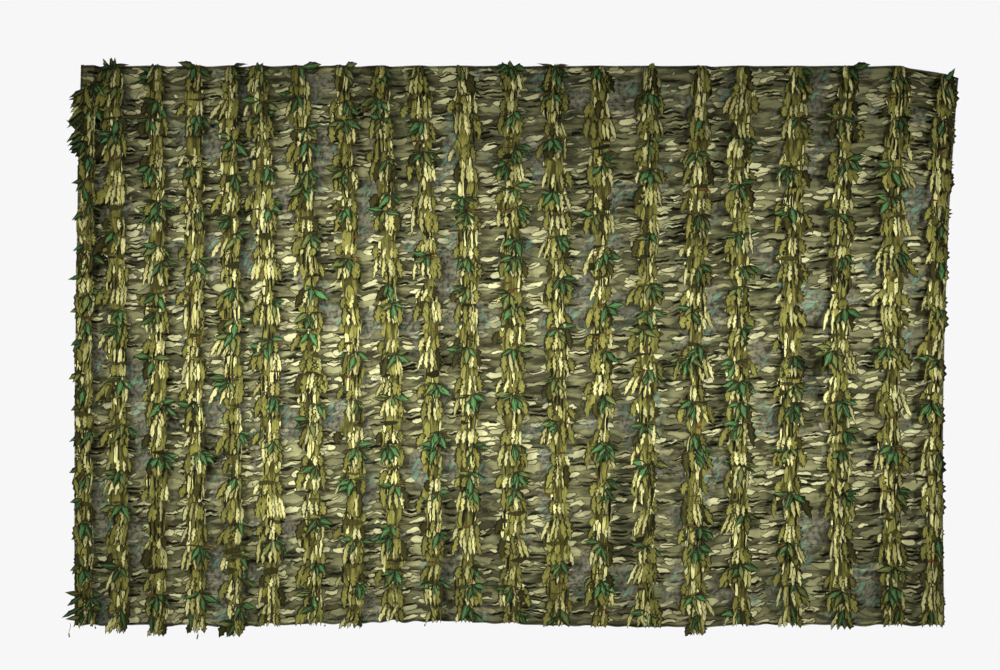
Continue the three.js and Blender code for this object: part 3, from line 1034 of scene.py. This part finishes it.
def leaf_tree():
    """Geometry nodes: leaves set on a plan of points, with the ribbon that they grow from."""
    inputs = {"Ribbon": "Geometry", "Leaf plan": "Object", "Leaf forms": "Collection", "Cloth": "Material"}
    outputs = {"Strip": "Geometry"}
    tree, graph, given, result = new_tree("Leaves on a ribbon", "GeometryNodeTree", inputs, outputs)
    plan = graph.add("GeometryNodeObjectInfo", {"Object": given["Leaf plan"]})
    forms = graph.add(
        "GeometryNodeCollectionInfo",
        {"Collection": given["Leaf forms"], "Separate Children": True, "Reset Children": True},
    )
    leaves = graph.add(
        "GeometryNodeInstanceOnPoints",
        {
            "Points": plan.outputs["Geometry"],
            "Instance": forms.outputs["Instances"],
            "Pick Instance": True,
            "Instance Index": graph.attribute("form", "INT"),
            "Rotation": graph.attribute("turn", "FLOAT_VECTOR"),
            "Scale": graph.attribute("size", "FLOAT_VECTOR"),
        },
    )
    together = graph.add("GeometryNodeJoinGeometry", {0: leaves.outputs["Instances"]})
    graph.feed(together.inputs[0], given["Ribbon"])
    graph.feed(result["Strip"], graph.realized(together.outputs[0], given["Cloth"]))
    return tree


def sewing_tree():
    """Geometry nodes: one stitch repeated along lines, its X along the line, its Y to the cloth's back."""
    inputs = {"Lines": "Geometry", "Stitch": "Object", "Pitch": "Float", "Thread": "Material"}
    outputs = {"Stitches": "Geometry"}
    tree, graph, given, result = new_tree("Stitches along lines", "GeometryNodeTree", inputs, outputs)
    lines = graph.add("GeometryNodeMeshToCurve", {"Mesh": given["Lines"]})
    spacing = {"Curve": lines.outputs["Curve"], "Length": given["Pitch"]}
    spaced = graph.add("GeometryNodeResampleCurve", spacing, mode="LENGTH")
    stitch = graph.add("GeometryNodeObjectInfo", {"Object": given["Stitch"], "As Instance": True})
    tangent = graph.add("GeometryNodeInputTangent").outputs["Tangent"]
    along = graph.add("FunctionNodeAlignRotationToVector", {"Vector": tangent}, axis="X")
    back = {"Rotation": along.outputs["Rotation"], "Vector": graph.attribute("back", "FLOAT_VECTOR")}
    facing = graph.add("FunctionNodeAlignRotationToVector", back, axis="Y", pivot_axis="X")
    stitches = graph.add(
        "GeometryNodeInstanceOnPoints",
        {
            "Points": spaced.outputs["Curve"],
            "Instance": stitch.outputs["Geometry"],
            "Rotation": facing.outputs["Rotation"],
        },
    )
    graph.feed(result["Stitches"], graph.realized(stitches.outputs["Instances"], given["Thread"]))
    return tree


def grow(piece, tree, **values):
    """Gives a piece the mesh that a geometry node tree makes of it."""
    modifier = piece.modifiers.new("Grow", "NODES")
    modifier.node_group = tree
    names = {item.name: item.identifier for item in tree.interface.items_tree if item.in_out == "INPUT"}
    for name, value in values.items():
        modifier[names[name.replace("_", " ").capitalize()]] = value
    depsgraph = bpy.context.evaluated_depsgraph_get()
    grown = bpy.data.meshes.new_from_object(
        piece.evaluated_get(depsgraph), preserve_all_data_layers=True, depsgraph=depsgraph
    )
    piece.modifiers.clear()
    piece.data = grown


# Leaf plans. Angles to draw from are in degrees, lengths and widths are shares of the usual ones

LEAF_SEED = 1000
ROOT_STAND = 0.5 * MM
TONES = (0.7, 1.2)
PRINT_SPREAD = 5
FLAP_OVERHANG = -13 * MM
FARTHEST_FORWARD = -46 * MM
LEAST_SIDEWAYS = 0.01
MOST_DRAWN_IN = -0.5


class Tier(NamedTuple):
    """A bunch of flaps: their lengths, how many there may be, and the chance of green leaves above."""

    lengths: tuple
    counts: tuple
    leafy: float


FULL_TIER = Tier((1.0, 1.25), (5, 8), 0.75)
SHORT_TIER = Tier((0.6, 0.85), (3, 6), 0.26)
TIER_SHIFT = 10 * MM
TIER_OFFSET = 0.15
TIER_LEANS = (2, 12)
TIER_ARCS = (30, 54)
PALE_CORES = 0.4
PALE_CORE_HALF = 0.5
PALE_FROM = (-0.6, 0.3)
PALE_TINTS = ("cream", "straw")
PALE_WIDTHS = (0.6, 0.95)
DARK_TINTS = ("olive",) * 5 + ("bark",)
DARK_WIDTHS = (1.0, 1.45)
FLAP_PLACES = 0.9
FLAP_STRAY = 6
FLAP_LENGTHS = (0.88, 1.12)
LOW_STANDS = (1, 6)
WRAP_STRAIGHTENING = 0.8

FAN_OFFSET = 0.55
FAN_TURN = 40
FAN_OUTWARD = 60
DROOPING_FANS = 0.65
FAN_COUNTS = (3, 7)
FAN_ARCS = (28, 62)
TWIG_COUNT = 3
TWIG_ARCS = (60, 90)
# Bark and russet stalks are twigs; the stalk in the outline colour is a dark piece standing in for the
# shadow under a fan
STALK_AND_SHADOW_TINTS = ("outline", "bark", "russet")
STALK_SPLAYS = (60, 100)
STALK_STAND = math.radians(8)
STALK_LENGTHS = (0.6, 0.9)
STALK_WIDTH = 0.4
LEAF_TINTS = ("green", "green", "deep_green", "dull_green")
LEAF_STRAY = 16
LEAF_MOST_SPLAY = 98
LEAF_STANDS = (7, 14)
LEAF_SIZES = (0.65, 1.05)
LEAF_BREADTH = 1.1
LEAF_SHIFT = 6 * MM

OUTER_TIPS_FROM = -56 * MM
OUTER_TIPS_THIN_FROM = -196 * MM
OUTER_TIP_PITCH = 78 * MM
OUTER_TIP_PITCHES = (0.97, 1.03)
OUTER_TIP_TINTS = ("deep_green", "bark", "olive")
OUTER_TIP_PLACE = -0.5
OUTER_TIP_LENGTHS = (0.85, 1.1)
OUTER_TIP_WIDTH = 0.7
THICK_SIZES = (0.8, 1.3)
THICK_SPLAYS = ((40, 100), (15, 60))
THICK_PITCH = 0.35
THIN_SIZE = 0.68
THIN_SPLAYS = ((50, 75), (25, 45))
BULGE_PITCH = 0.24
BULGE_TINTS = ("olive", "straw", "cream", "bark")
BULGE_PLACE = -0.25
BULGE_SPLAYS = (36, 62)
BULGE_STAND = math.radians(1)
BULGE_LENGTHS = (0.95, 1.15)
BULGE_WIDTHS = (1.2, 1.6)

TUFT_LEAST_HEAD = 3 * MM
TUFT_PLACES = (-0.6, -0.3, 0, 0.3)
TUFT_SPLAY = 35
TUFT_GREEN = 0.5
TUFT_ROOT = 14 * MM
TUFT_STAND = math.radians(6)
TUFT_WIDTH = 0.6
LONG_TAIL = 10 * MM
LONG_FRINGE = 5
SHORT_FRINGE = 2
FRINGE_PLACES = (-0.7, 0.5)
FRINGE_SPLAY = 24
FRINGE_GREEN = 0.25
FRINGE_TINTS = ("olive", "straw")
FRINGE_SIZES = (0.8, 1.2)
FRINGE_RISE = 0.35
FRINGE_STAND = math.radians(5)
FRINGE_WIDTH = 0.75


def kept_back(y, length, splay, stand, turn):
    """A leaf's turn about the upright, drawn in where its tip would reach too far forward."""
    side = 1 if math.sin(splay) > 0 else -1
    sideways = max(abs(math.sin(splay)) * math.cos(stand), LEAST_SIDEWAYS)
    room = ((y - FARTHEST_FORWARD) / length - math.sin(stand)) / sideways
    return side * min(side * turn, math.asin(min(max(room, MOST_DRAWN_IN), 1)))


class LeafPlan:
    """Where a strip's leaves and flaps grow, and how each is turned, sized and tinted."""

    def __init__(self, shape, sizes, colours):
        self.shape = shape
        self.length = sizes.leaf_length
        self.width = sizes.leaf_width
        self.colours = colours
        self.rng = np.random.default_rng(SEED + LEAF_SEED + shape.strip)
        self.roots, self.turns, self.sizes, self.forms, self.tints, self.leafy = ([] for _ in range(6))

    def angle(self, low, high):
        return math.radians(self.rng.uniform(low, high))

    def add(self, z, across, splay, stand, length, width, tint, leafy=True, overhang=LEFT_OVERHANG):
        """One at a height and a share of the ribbon's half width, with splay to -X and stand forward."""
        lowest = self.shape.tail + length * max(0, math.cos(splay))
        highest = max(self.shape.head, self.shape.top) + length * min(0, math.cos(splay))
        z = min(max(z, lowest), self.shape.start, highest)
        root = self.shape.at(z, across)[0]
        splay = self.shape.hanging.kept_on(root[0], self.shape.share_at(z), length, splay, overhang)
        self.roots.append((root[0], root[1] - ROOT_STAND, z))
        turn = kept_back(root[1], length, splay, stand, self.shape.turn_at(z, across))
        self.turns.append((-stand, splay, turn))
        self.sizes.append((width, length, length))
        self.forms.append(int(self.rng.choice(LEAVES if leafy else FLAPS)))
        tone = np.array(getattr(self.colours, tint)) * self.rng.uniform(*TONES)
        self.tints.append((*np.clip(tone, 0, 1), 1))
        self.leafy.append(leafy)

    def to_object(self, name):
        mesh = new_mesh(name, self.roots)
        count = len(self.roots)
        for attribute, kind, values in (
            ("turn", "FLOAT_VECTOR", self.turns),
            ("size", "FLOAT_VECTOR", self.sizes),
            ("form", "INT", self.forms),
            ("tint", "FLOAT_COLOR", self.tints),
            ("leafy", "FLOAT", self.leafy),
            ("cut_out", "FLOAT", np.ones(count)),
            ("shift", "FLOAT_VECTOR", self.rng.uniform(0, PRINT_SPREAD, (count, 3))),
        ):
            add_attribute(mesh, attribute, kind, values)
        return new_object(name, mesh)


def skirts(plan):
    """Tiers of long cream and olive flaps, each a bunch that hangs to the tip of one of the lobes.

    Full tiers and short ones come by turns. Most full tiers hang from under a fan of green leaves.
    """
    rng, shape = plan.rng, plan.shape
    first_full = rng.integers(0, 2)
    for number in range(STRIP_SECTIONS):
        tier = SHORT_TIER if (number + first_full) % 2 else FULL_TIER
        side = 1 if number % 2 else -1
        tip = shape.head - LOBE_DROOP - number * shape.section + rng.uniform(-TIER_SHIFT, TIER_SHIFT)
        wrap = float(wrap_at(shape.strip, shape.share_at(tip)))
        centre = side * rng.uniform(0, TIER_OFFSET)
        lean = side * rng.uniform(*TIER_LEANS)
        arc = rng.uniform(*TIER_ARCS)
        long_tier = plan.length * rng.uniform(*tier.lengths)
        count = int(rng.integers(*tier.counts))
        pale_core = rng.random() < PALE_CORES
        pale_side = rng.choice((-1, 1))
        pale_from = rng.uniform(*PALE_FROM)
        for place_in in np.linspace(-FLAP_PLACES, FLAP_PLACES, count):
            turn = lean + place_in * arc / 2 + rng.uniform(-FLAP_STRAY, FLAP_STRAY)
            splay = -math.radians(turn * (1 - WRAP_STRAIGHTENING * wrap) if turn > 0 else turn)
            pale = abs(place_in) < PALE_CORE_HALF if pale_core else place_in * pale_side > pale_from
            tint = rng.choice(PALE_TINTS if pale else DARK_TINTS)
            long = long_tier * rng.uniform(*FLAP_LENGTHS)
            broad = plan.width * rng.uniform(*(PALE_WIDTHS if pale else DARK_WIDTHS))
            root = tip + long * math.cos(splay)
            stand = plan.angle(*LOW_STANDS)
            plan.add(root, centre + place_in, splay, stand, long, broad, tint, False, FLAP_OVERHANG)
        if rng.random() < tier.leafy:
            leaf_fan(plan, tip + long_tier, rng.uniform(-FAN_OFFSET, FAN_OFFSET))


def leaf_fan(plan, z, centre):
    """A drooping fan of green leaves or a spread twig, with a few dark stalks behind it, one of them a
    painted shadow.
    """
    rng = plan.rng
    fan = rng.uniform(-FAN_TURN, FAN_TURN) - FAN_OUTWARD * centre
    drooping = rng.random() < DROOPING_FANS
    count = int(rng.integers(*FAN_COUNTS)) if drooping else TWIG_COUNT
    arc = rng.uniform(*(FAN_ARCS if drooping else TWIG_ARCS))
    # Dark stalks behind the fan; the one in the outline colour is a painted shadow under it
    for tint in STALK_AND_SHADOW_TINTS:
        splay = rng.choice((-1, 1)) * plan.angle(*STALK_SPLAYS)
        long = plan.length * rng.uniform(*STALK_LENGTHS)
        broad = plan.width * STALK_WIDTH
        plan.add(z, centre, splay, STALK_STAND, long, broad, tint, True, FLAP_OVERHANG)
    for turn in np.linspace(-arc, arc, count):
        turned = fan + turn + rng.uniform(-LEAF_STRAY, LEAF_STRAY)
        splay = math.radians(min(max(turned, -LEAF_MOST_SPLAY), LEAF_MOST_SPLAY))
        stand = plan.angle(*LEAF_STANDS)
        size = rng.uniform(*LEAF_SIZES)
        long, broad = plan.length * size, plan.width * size * LEAF_BREADTH
        tint = rng.choice(LEAF_TINTS)
        up = z + rng.uniform(-LEAF_SHIFT, LEAF_SHIFT)
        plan.add(up, centre, splay, stand, long, broad, tint, True, FLAP_OVERHANG)


def outer_tips(plan):
    """Dark tips that stand out past the cover's left edge, with broad flaps under them where it bulges."""
    rng, foot = plan.rng, plan.shape.foot
    z = OUTER_TIPS_FROM
    while z > foot:
        bulging = z > OUTER_TIPS_THIN_FROM
        thick = bulging or z < foot + OUTER_TIP_PITCH
        if bulging:
            splay = plan.angle(*BULGE_SPLAYS)
            tint = rng.choice(BULGE_TINTS)
            long = plan.length * rng.uniform(*BULGE_LENGTHS)
            broad = plan.width * rng.uniform(*BULGE_WIDTHS)
            plan.add(z, BULGE_PLACE, splay, BULGE_STAND, long, broad, tint, False)
        size = rng.uniform(*THICK_SIZES) if thick else THIN_SIZE
        for splays in THICK_SPLAYS if thick else THIN_SPLAYS:
            splay = plan.angle(*splays)
            tint = rng.choice(OUTER_TIP_TINTS)
            stand = plan.angle(*LOW_STANDS)
            long = plan.length * size * rng.uniform(*OUTER_TIP_LENGTHS)
            plan.add(z, OUTER_TIP_PLACE, splay, stand, long, plan.width * OUTER_TIP_WIDTH, tint)
        pitch = OUTER_TIP_PITCH * rng.uniform(*OUTER_TIP_PITCHES)
        z -= pitch * (BULGE_PITCH if bulging else THICK_PITCH if thick else 1)


def end_tufts(plan):
    """Leaves and flaps that stand above the top edge or hang below the hem."""
    rng, shape = plan.rng, plan.shape
    head, tail = STRIPS[shape.strip].head, STRIPS[shape.strip].tail
    if head > TUFT_LEAST_HEAD:
        for across in TUFT_PLACES:
            splay = math.pi + plan.angle(-TUFT_SPLAY, TUFT_SPLAY)
            green = rng.random() < TUFT_GREEN
            tint = "deep_green" if green else "olive"
            root, broad = shape.top - TUFT_ROOT, plan.width * TUFT_WIDTH
            plan.add(root, across, splay, TUFT_STAND, head + TUFT_ROOT, broad, tint, green)
    count = LONG_FRINGE if tail > LONG_TAIL else SHORT_FRINGE
    for across in np.linspace(*FRINGE_PLACES, count):
        splay = plan.angle(-FRINGE_SPLAY, FRINGE_SPLAY)
        green = rng.random() < FRINGE_GREEN
        tint = "deep_green" if green else rng.choice(FRINGE_TINTS)
        long = plan.length * rng.uniform(*FRINGE_SIZES)
        root = shape.tail + rng.uniform(0, FRINGE_RISE) * tail + long * math.cos(splay)
        plan.add(root, across, splay, FRINGE_STAND, long, plan.width * FRINGE_WIDTH, tint, green)


def plan_leaves(shape, sizes, colours):
    plan = LeafPlan(shape, sizes, colours)
    skirts(plan)
    if shape.strip == 0:
        outer_tips(plan)
    end_tufts(plan)
    return plan


# Operators


def hanging_cloth(context):
    return Hanging(context.scene.cover_sizes.hem_width)


def discard(*objects):
    for item in objects:
        mesh = item.data
        bpy.data.objects.remove(item)
        bpy.data.meshes.remove(mesh)


HEM_TOLERANCE = 1.01


class COVER_OT_panel(bpy.types.Operator):
    """Makes the mesh panel as a thin hemmed sheet on the solid's folds"""

    bl_idname = "cover.panel"
    bl_label = "Mesh Panel"

    def execute(self, context):
        sizes, colours = context.scene.cover_sizes, context.scene.cover_colours
        hanging = hanging_cloth(context)
        across, down = np.meshgrid(hanging.flat, hanging.down)
        inward = np.minimum.reduce([across, hanging.flat_width - across, down, PANEL_DROP - down])
        hemmed = inward <= sizes.hem_width * HEM_TOLERANCE
        thickness = np.where(hemmed, sizes.hem_thickness, sizes.panel_thickness)
        flat = np.stack([across, -down], axis=-1)
        mesh = closed_sheet("panel_cloth", hanging.points, thickness, flat)
        soften(mesh)
        mesh.materials.append(mesh_material(colours))
        piece = new_object("panel_cloth", mesh)
        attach(piece, "root")
        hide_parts("mesh_panel")
        return {"FINISHED"}


class COVER_OT_strips(bpy.types.Operator):
    """Makes the leaf strips: a cut ribbon on each seam, with leaves along it"""

    bl_idname = "cover.strips"
    bl_label = "Leaf Strips"

    def execute(self, context):
        sizes, colours = context.scene.cover_sizes, context.scene.cover_colours
        hanging = hanging_cloth(context)
        material = strip_material(colours)
        forms = bpy.data.collections.new("leaf_forms")
        for number, form in enumerate(LEAF_FORMS):
            name = f"leaf_{number}"
            forms.objects.link(bpy.data.objects.new(name, leaf_mesh(name, form)))
        tree = leaf_tree()
        for strip in range(len(STRIPS)):
            shape = StripShape(strip, hanging)
            points = np.stack([shape.at(z, RIBBON_COLUMNS) for z in shape.heights])
            across = points[:, :, 0] - across_at(STRIPS[strip], shape.share_at(points[:, :, 2]))
            flat = np.stack([across + strip * PRINT_SHIFT, points[:, :, 2]], axis=-1)
            name = f"strip_cloth_{strip + 1:02d}"
            piece = new_object(name, closed_sheet(name, points, sizes.ribbon_thickness, flat))
            soften(piece.data)
            plan = plan_leaves(shape, sizes, colours).to_object("leaf_plan")
            grow(piece, tree, leaf_plan=plan, leaf_forms=forms, cloth=material)
            discard(plan)
            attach(piece, "root")
            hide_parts(f"leaf_strip_{strip + 1:02d}")
        discard(*forms.objects)
        bpy.data.collections.remove(forms)
        return {"FINISHED"}


STITCH_SHARE = 0.75
STITCH_WIDTH = 1.1 * MM
HEM_LINE = 3
OVERLOCK_STAND = 0.3 * MM
OVERLOCK_RADIUS = 0.7 * MM
OVERLOCK_SIDES = 3
# A loop's X and Z in millimetres, and its Y in half thicknesses
OVERLOCK_PATH = ((0, -1, -6), (0.5, -1, -3), (0.9, 0, 0.5), (1.3, 1, -3), (1.8, 1, -6))


def line_object(name, runs):
    """Lines of points, each point with the direction towards the cloth's back."""
    points, backs = (np.concatenate([run[part] for run in runs]) for part in (0, 1))
    edges = []
    start = 0
    for run, _ in runs:
        edges += [(start + n, start + n + 1) for n in range(len(run) - 1)]
        start += len(run)
    mesh = new_mesh(name, points.tolist(), edges=edges)
    add_attribute(mesh, "back", "FLOAT_VECTOR", backs)
    return new_object(name, mesh)


class COVER_OT_sewing(bpy.types.Operator):
    """Makes the seam stitches, the hem stitches and the thread over the panel's edges"""

    bl_idname = "cover.sewing"
    bl_label = "Sewing"

    def execute(self, context):
        sizes, colours = context.scene.cover_sizes, context.scene.cover_colours
        hanging = hanging_cloth(context)
        tree = sewing_tree()
        thread = thread_material(colours)
        back = np.cross(np.gradient(hanging.points, axis=1), np.gradient(hanging.points, axis=0))
        back /= np.linalg.norm(back, axis=-1, keepdims=True)
        pitch = sizes.stitch_pitch
        stitch = new_object("stitch", spindle_mesh("stitch", pitch * STITCH_SHARE, STITCH_WIDTH))
        runs = []
        for strip in range(len(STRIPS)):
            shape = StripShape(strip, hanging)
            run = np.concatenate([shape.at(z, 0) for z in shape.heights])
            run[:, 1] -= sizes.ribbon_thickness / 2
            runs.append((run, np.tile((0.0, 1.0, 0.0), (len(run), 1))))
        self.sew("seam_stitches", runs, stitch, pitch, tree, thread)
        front = hanging.points - back * (sizes.hem_thickness / 2)
        ends = (HEM_LINE, -1 - HEM_LINE)
        between = slice(HEM_LINE, -HEM_LINE)
        lines = [(row, between) for row in ends] + [(between, column) for column in ends]
        self.sew("hem_stitches", [(front[at], back[at]) for at in lines], stitch, pitch, tree, thread)
        half = sizes.hem_thickness / 2 + OVERLOCK_STAND
        path = [(x * MM, side * half, z * MM) for x, side, z in OVERLOCK_PATH]
        loop = new_object("loop", join_tubes("loop", [tube(path, OVERLOCK_RADIUS, OVERLOCK_SIDES)]))
        onward, backward = slice(None), slice(None, None, -1)
        rim = ((0, onward), (onward, -1), (-1, backward), (backward, 0))
        edges = [(hanging.points[at], back[at]) for at in rim]
        self.sew("edge_thread", edges, loop, sizes.overlock_pitch, tree, thread)
        discard(stitch, loop)
        return {"FINISHED"}

    def sew(self, name, runs, stitch, pitch, tree, thread):
        piece = line_object(name, runs)
        grow(piece, tree, stitch=stitch, pitch=pitch, thread=thread)
        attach(piece, "root")


class LooseThread(NamedTuple):
    """A loose thread end at the hem: where it leaves, how far it hangs and how far it drifts."""

    x: float
    length: float
    drift: float


LOOSE_THREADS = tuple(
    LooseThread(*(size * MM for size in row))
    for row in (
        (-1078, 34, -3),
        (-1018, 14, -2),
        (-761, 40, -8),
        (-668, 22, 3),
        (-458, 12, 2),
        (-208, 14, -2),
    )
)
THREAD_POINTS = 12
THREAD_SIDES = 5
THREAD_RADIUS = 0.6 * MM
THREAD_SWAY = 1.5 * MM
THREAD_WAVES = 7
THREAD_ROOT = 4 * MM
FRAYED_POINTS = 4
FRAYED_RADIUS = 1.6 * MM


class COVER_OT_loose_threads(bpy.types.Operator):
    """Makes the loose thread ends that hang below the hem"""

    bl_idname = "cover.loose_threads"
    bl_label = "Loose Threads"

    def execute(self, context):
        foot = hanging_cloth(context).points[-1]
        along = np.linspace(0, 1, THREAD_POINTS)
        tubes = []
        for number, loose in enumerate(LOOSE_THREADS):
            y, z = (np.interp(loose.x, foot[:, 0], foot[:, axis]) for axis in (1, 2))
            sway = THREAD_SWAY * np.sin(along * THREAD_WAVES + number)
            x = loose.x + loose.drift * along + sway
            path = np.stack([x, y - sway, z + THREAD_ROOT - loose.length * along], axis=-1)
            tubes.append(tube(path, THREAD_RADIUS, THREAD_SIDES))
            tubes.append(tube(path[-FRAYED_POINTS:], FRAYED_RADIUS, THREAD_SIDES))
        mesh = join_tubes("loose_threads", tubes)
        mesh.materials.append(bpy.data.materials["thread"])
        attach(new_object("loose_threads", mesh), "root")
        return {"FINISHED"}


class COVER_OT_declare(bpy.types.Operator):
    bl_idname = "cover.declare"
    bl_label = "Declare Cloth"

    def execute(self, context):
        hanging = hanging_cloth(context)
        return {"FINISHED"}


CAMERA_PLACE = (-0.027, -6.0, -0.659)
FRAME_WIDTH = 2.45
FLOOR_HEIGHT = -2.0
FLOOR_RADIUS = 2.6
FLOOR_SIDES = 96
FLOOR_GREY = (0.6, 0.6, 0.6)
FLOOR_GLOW = 0.62
FLOOR_FADE = (0.5, 0.97)
WHITE = (1.0, 1.0, 1.0)
BACKGROUND = display(247, 247, 248)
BACKGROUND_LIGHT = 0.22
LAMP_AIM_HEIGHT = -0.74
LAMP_DISTANCE = 7.0
LAMP_SIZE = 0.8
LAMP_SPREAD = 15


class Lamp(NamedTuple):
    """A soft light in a bank round the cover: degrees from straight in front, degrees up, power, aim."""

    azimuth: float
    elevation: float
    watts: float
    aim: float


LAMPS = (
    Lamp(-44, 14, 1.5, -0.1),
    Lamp(-26, 24, 2.5, -0.2),
    Lamp(-10, 10, 2.7, -0.66),
    Lamp(8, 24, 2.8, -0.6),
    Lamp(26, 12, 4.3, 0.7),
    Lamp(46, 20, 3.25, 0.5),
    Lamp(150, 20, 2.6, 0.0),
    Lamp(-155, 10, 1.8, 0.0),
)


class COVER_OT_stage(bpy.types.Operator):
    """Makes the pale floor, soft studio lights, plain background and camera"""

    bl_idname = "cover.stage"
    bl_label = "Stage"

    def execute(self, context):
        self.floor()
        self.background(context.scene)
        for lamp in LAMPS:
            self.light(lamp)
        view = bpy.data.cameras.new("camera")
        view.lens = view.sensor_width * -CAMERA_PLACE[1] / FRAME_WIDTH
        camera = new_object("camera", view)
        camera.location = CAMERA_PLACE
        camera.rotation_euler = (math.pi / 2, 0, 0)
        context.scene.camera = camera
        context.scene.view_settings.view_transform = "Standard"
        return {"FINISHED"}

    def light(self, lamp):
        """A square lamp with a narrow spread, so that the cover is brightest where it is aimed."""
        data = bpy.data.lights.new("lamp", "AREA")
        data.size = LAMP_SIZE
        data.energy = lamp.watts
        data.spread = math.radians(LAMP_SPREAD)
        turn, rise = math.radians(lamp.azimuth), math.radians(lamp.elevation)
        level = math.cos(rise)
        towards = Vector((math.sin(turn) * level, -math.cos(turn) * level, math.sin(rise)))
        light = new_object("lamp", data)
        light.location = Vector((lamp.aim, 0, LAMP_AIM_HEIGHT)) + towards * LAMP_DISTANCE
        light.rotation_euler = towards.to_track_quat("Z", "Y").to_euler()
        light.visible_camera = False

    def floor(self):
        """A pale disc that fades out towards its rim."""
        turns = [2 * math.pi * n / FLOOR_SIDES for n in range(FLOOR_SIDES)]
        corners = [(FLOOR_RADIUS * math.cos(a), FLOOR_RADIUS * math.sin(a), FLOOR_HEIGHT) for a in turns]
        mesh = new_mesh("floor", corners, [tuple(range(FLOOR_SIDES))])
        material, graph = new_material("floor")
        place_on = graph.split(graph.add("ShaderNodeTexCoord").outputs["Object"])
        squares = [graph.math("POWER", way, 2.0) for way in place_on[:2]]
        away = graph.math("SQRT", graph.math("ADD", *squares))
        pale = graph.add(
            "ShaderNodeBsdfPrincipled",
            {
                "Base Color": opaque(FLOOR_GREY),
                "Roughness": 1.0,
                "Emission Color": opaque(WHITE),
                "Emission Strength": FLOOR_GLOW,
            },
        )
        clear = graph.add("ShaderNodeBsdfTransparent")
        faded = graph.step(away, *(FLOOR_RADIUS * share for share in FLOOR_FADE))
        surface = graph.add("ShaderNodeMixShader", {0: faded, 1: pale.outputs[0], 2: clear.outputs[0]})
        graph.add("ShaderNodeOutputMaterial", {"Surface": surface.outputs[0]})
        mesh.materials.append(material)
        new_object("floor", mesh)

    def background(self, scene):
        """Near white to the eye, and dimmer as a light."""
        world = bpy.data.worlds.new("studio")
        world.use_nodes = True
        scene.world = world
        graph = Graph(world.node_tree)
        seen = graph.add("ShaderNodeLightPath").outputs["Is Camera Ray"]
        strength = graph.line(seen, 1 - BACKGROUND_LIGHT, BACKGROUND_LIGHT)
        glow = graph.add("ShaderNodeBackground", {"Color": opaque(BACKGROUND), "Strength": strength})
        graph.add("ShaderNodeOutputWorld", {"Surface": glow.outputs["Background"]})


class COVER_PT_sidebar(bpy.types.Panel):
    """Sizes, colours and steps of the cover"""

    bl_label = "Blind Cover"
    bl_idname = "COVER_PT_sidebar"
    bl_space_type = "VIEW_3D"
    bl_region_type = "UI"
    bl_category = "Blind Cover"

    def draw(self, context):
        for group in (context.scene.cover_sizes, context.scene.cover_colours):
            column = self.layout.column(align=True)
            for name in group.bl_rna.properties.keys():
                if name not in ("rna_type", "name"):
                    column.prop(group, name)
        for step in STEPS:
            self.layout.operator(step.bl_idname)


STEPS = (
    COVER_OT_panel,
    COVER_OT_strips,
    COVER_OT_sewing,
    COVER_OT_loose_threads,
    COVER_OT_declare,
    COVER_OT_stage,
)
CLASSES = (CoverSizes, CoverColours, *STEPS, COVER_PT_sidebar)


def register():
    for item in CLASSES:
        bpy.utils.register_class(item)
    bpy.types.Scene.cover_sizes = PointerProperty(type=CoverSizes)
    bpy.types.Scene.cover_colours = PointerProperty(type=CoverColours)


def unregister():
    del bpy.types.Scene.cover_colours
    del bpy.types.Scene.cover_sizes
    for item in reversed(CLASSES):
        bpy.utils.unregister_class(item)


def main():
    register()
    bpy.ops.cover.panel()
    bpy.ops.cover.strips()
    bpy.ops.cover.sewing()
    bpy.ops.cover.loose_threads()
    bpy.ops.cover.declare()
    bpy.ops.cover.stage()


if __name__ == "__main__":
    main()
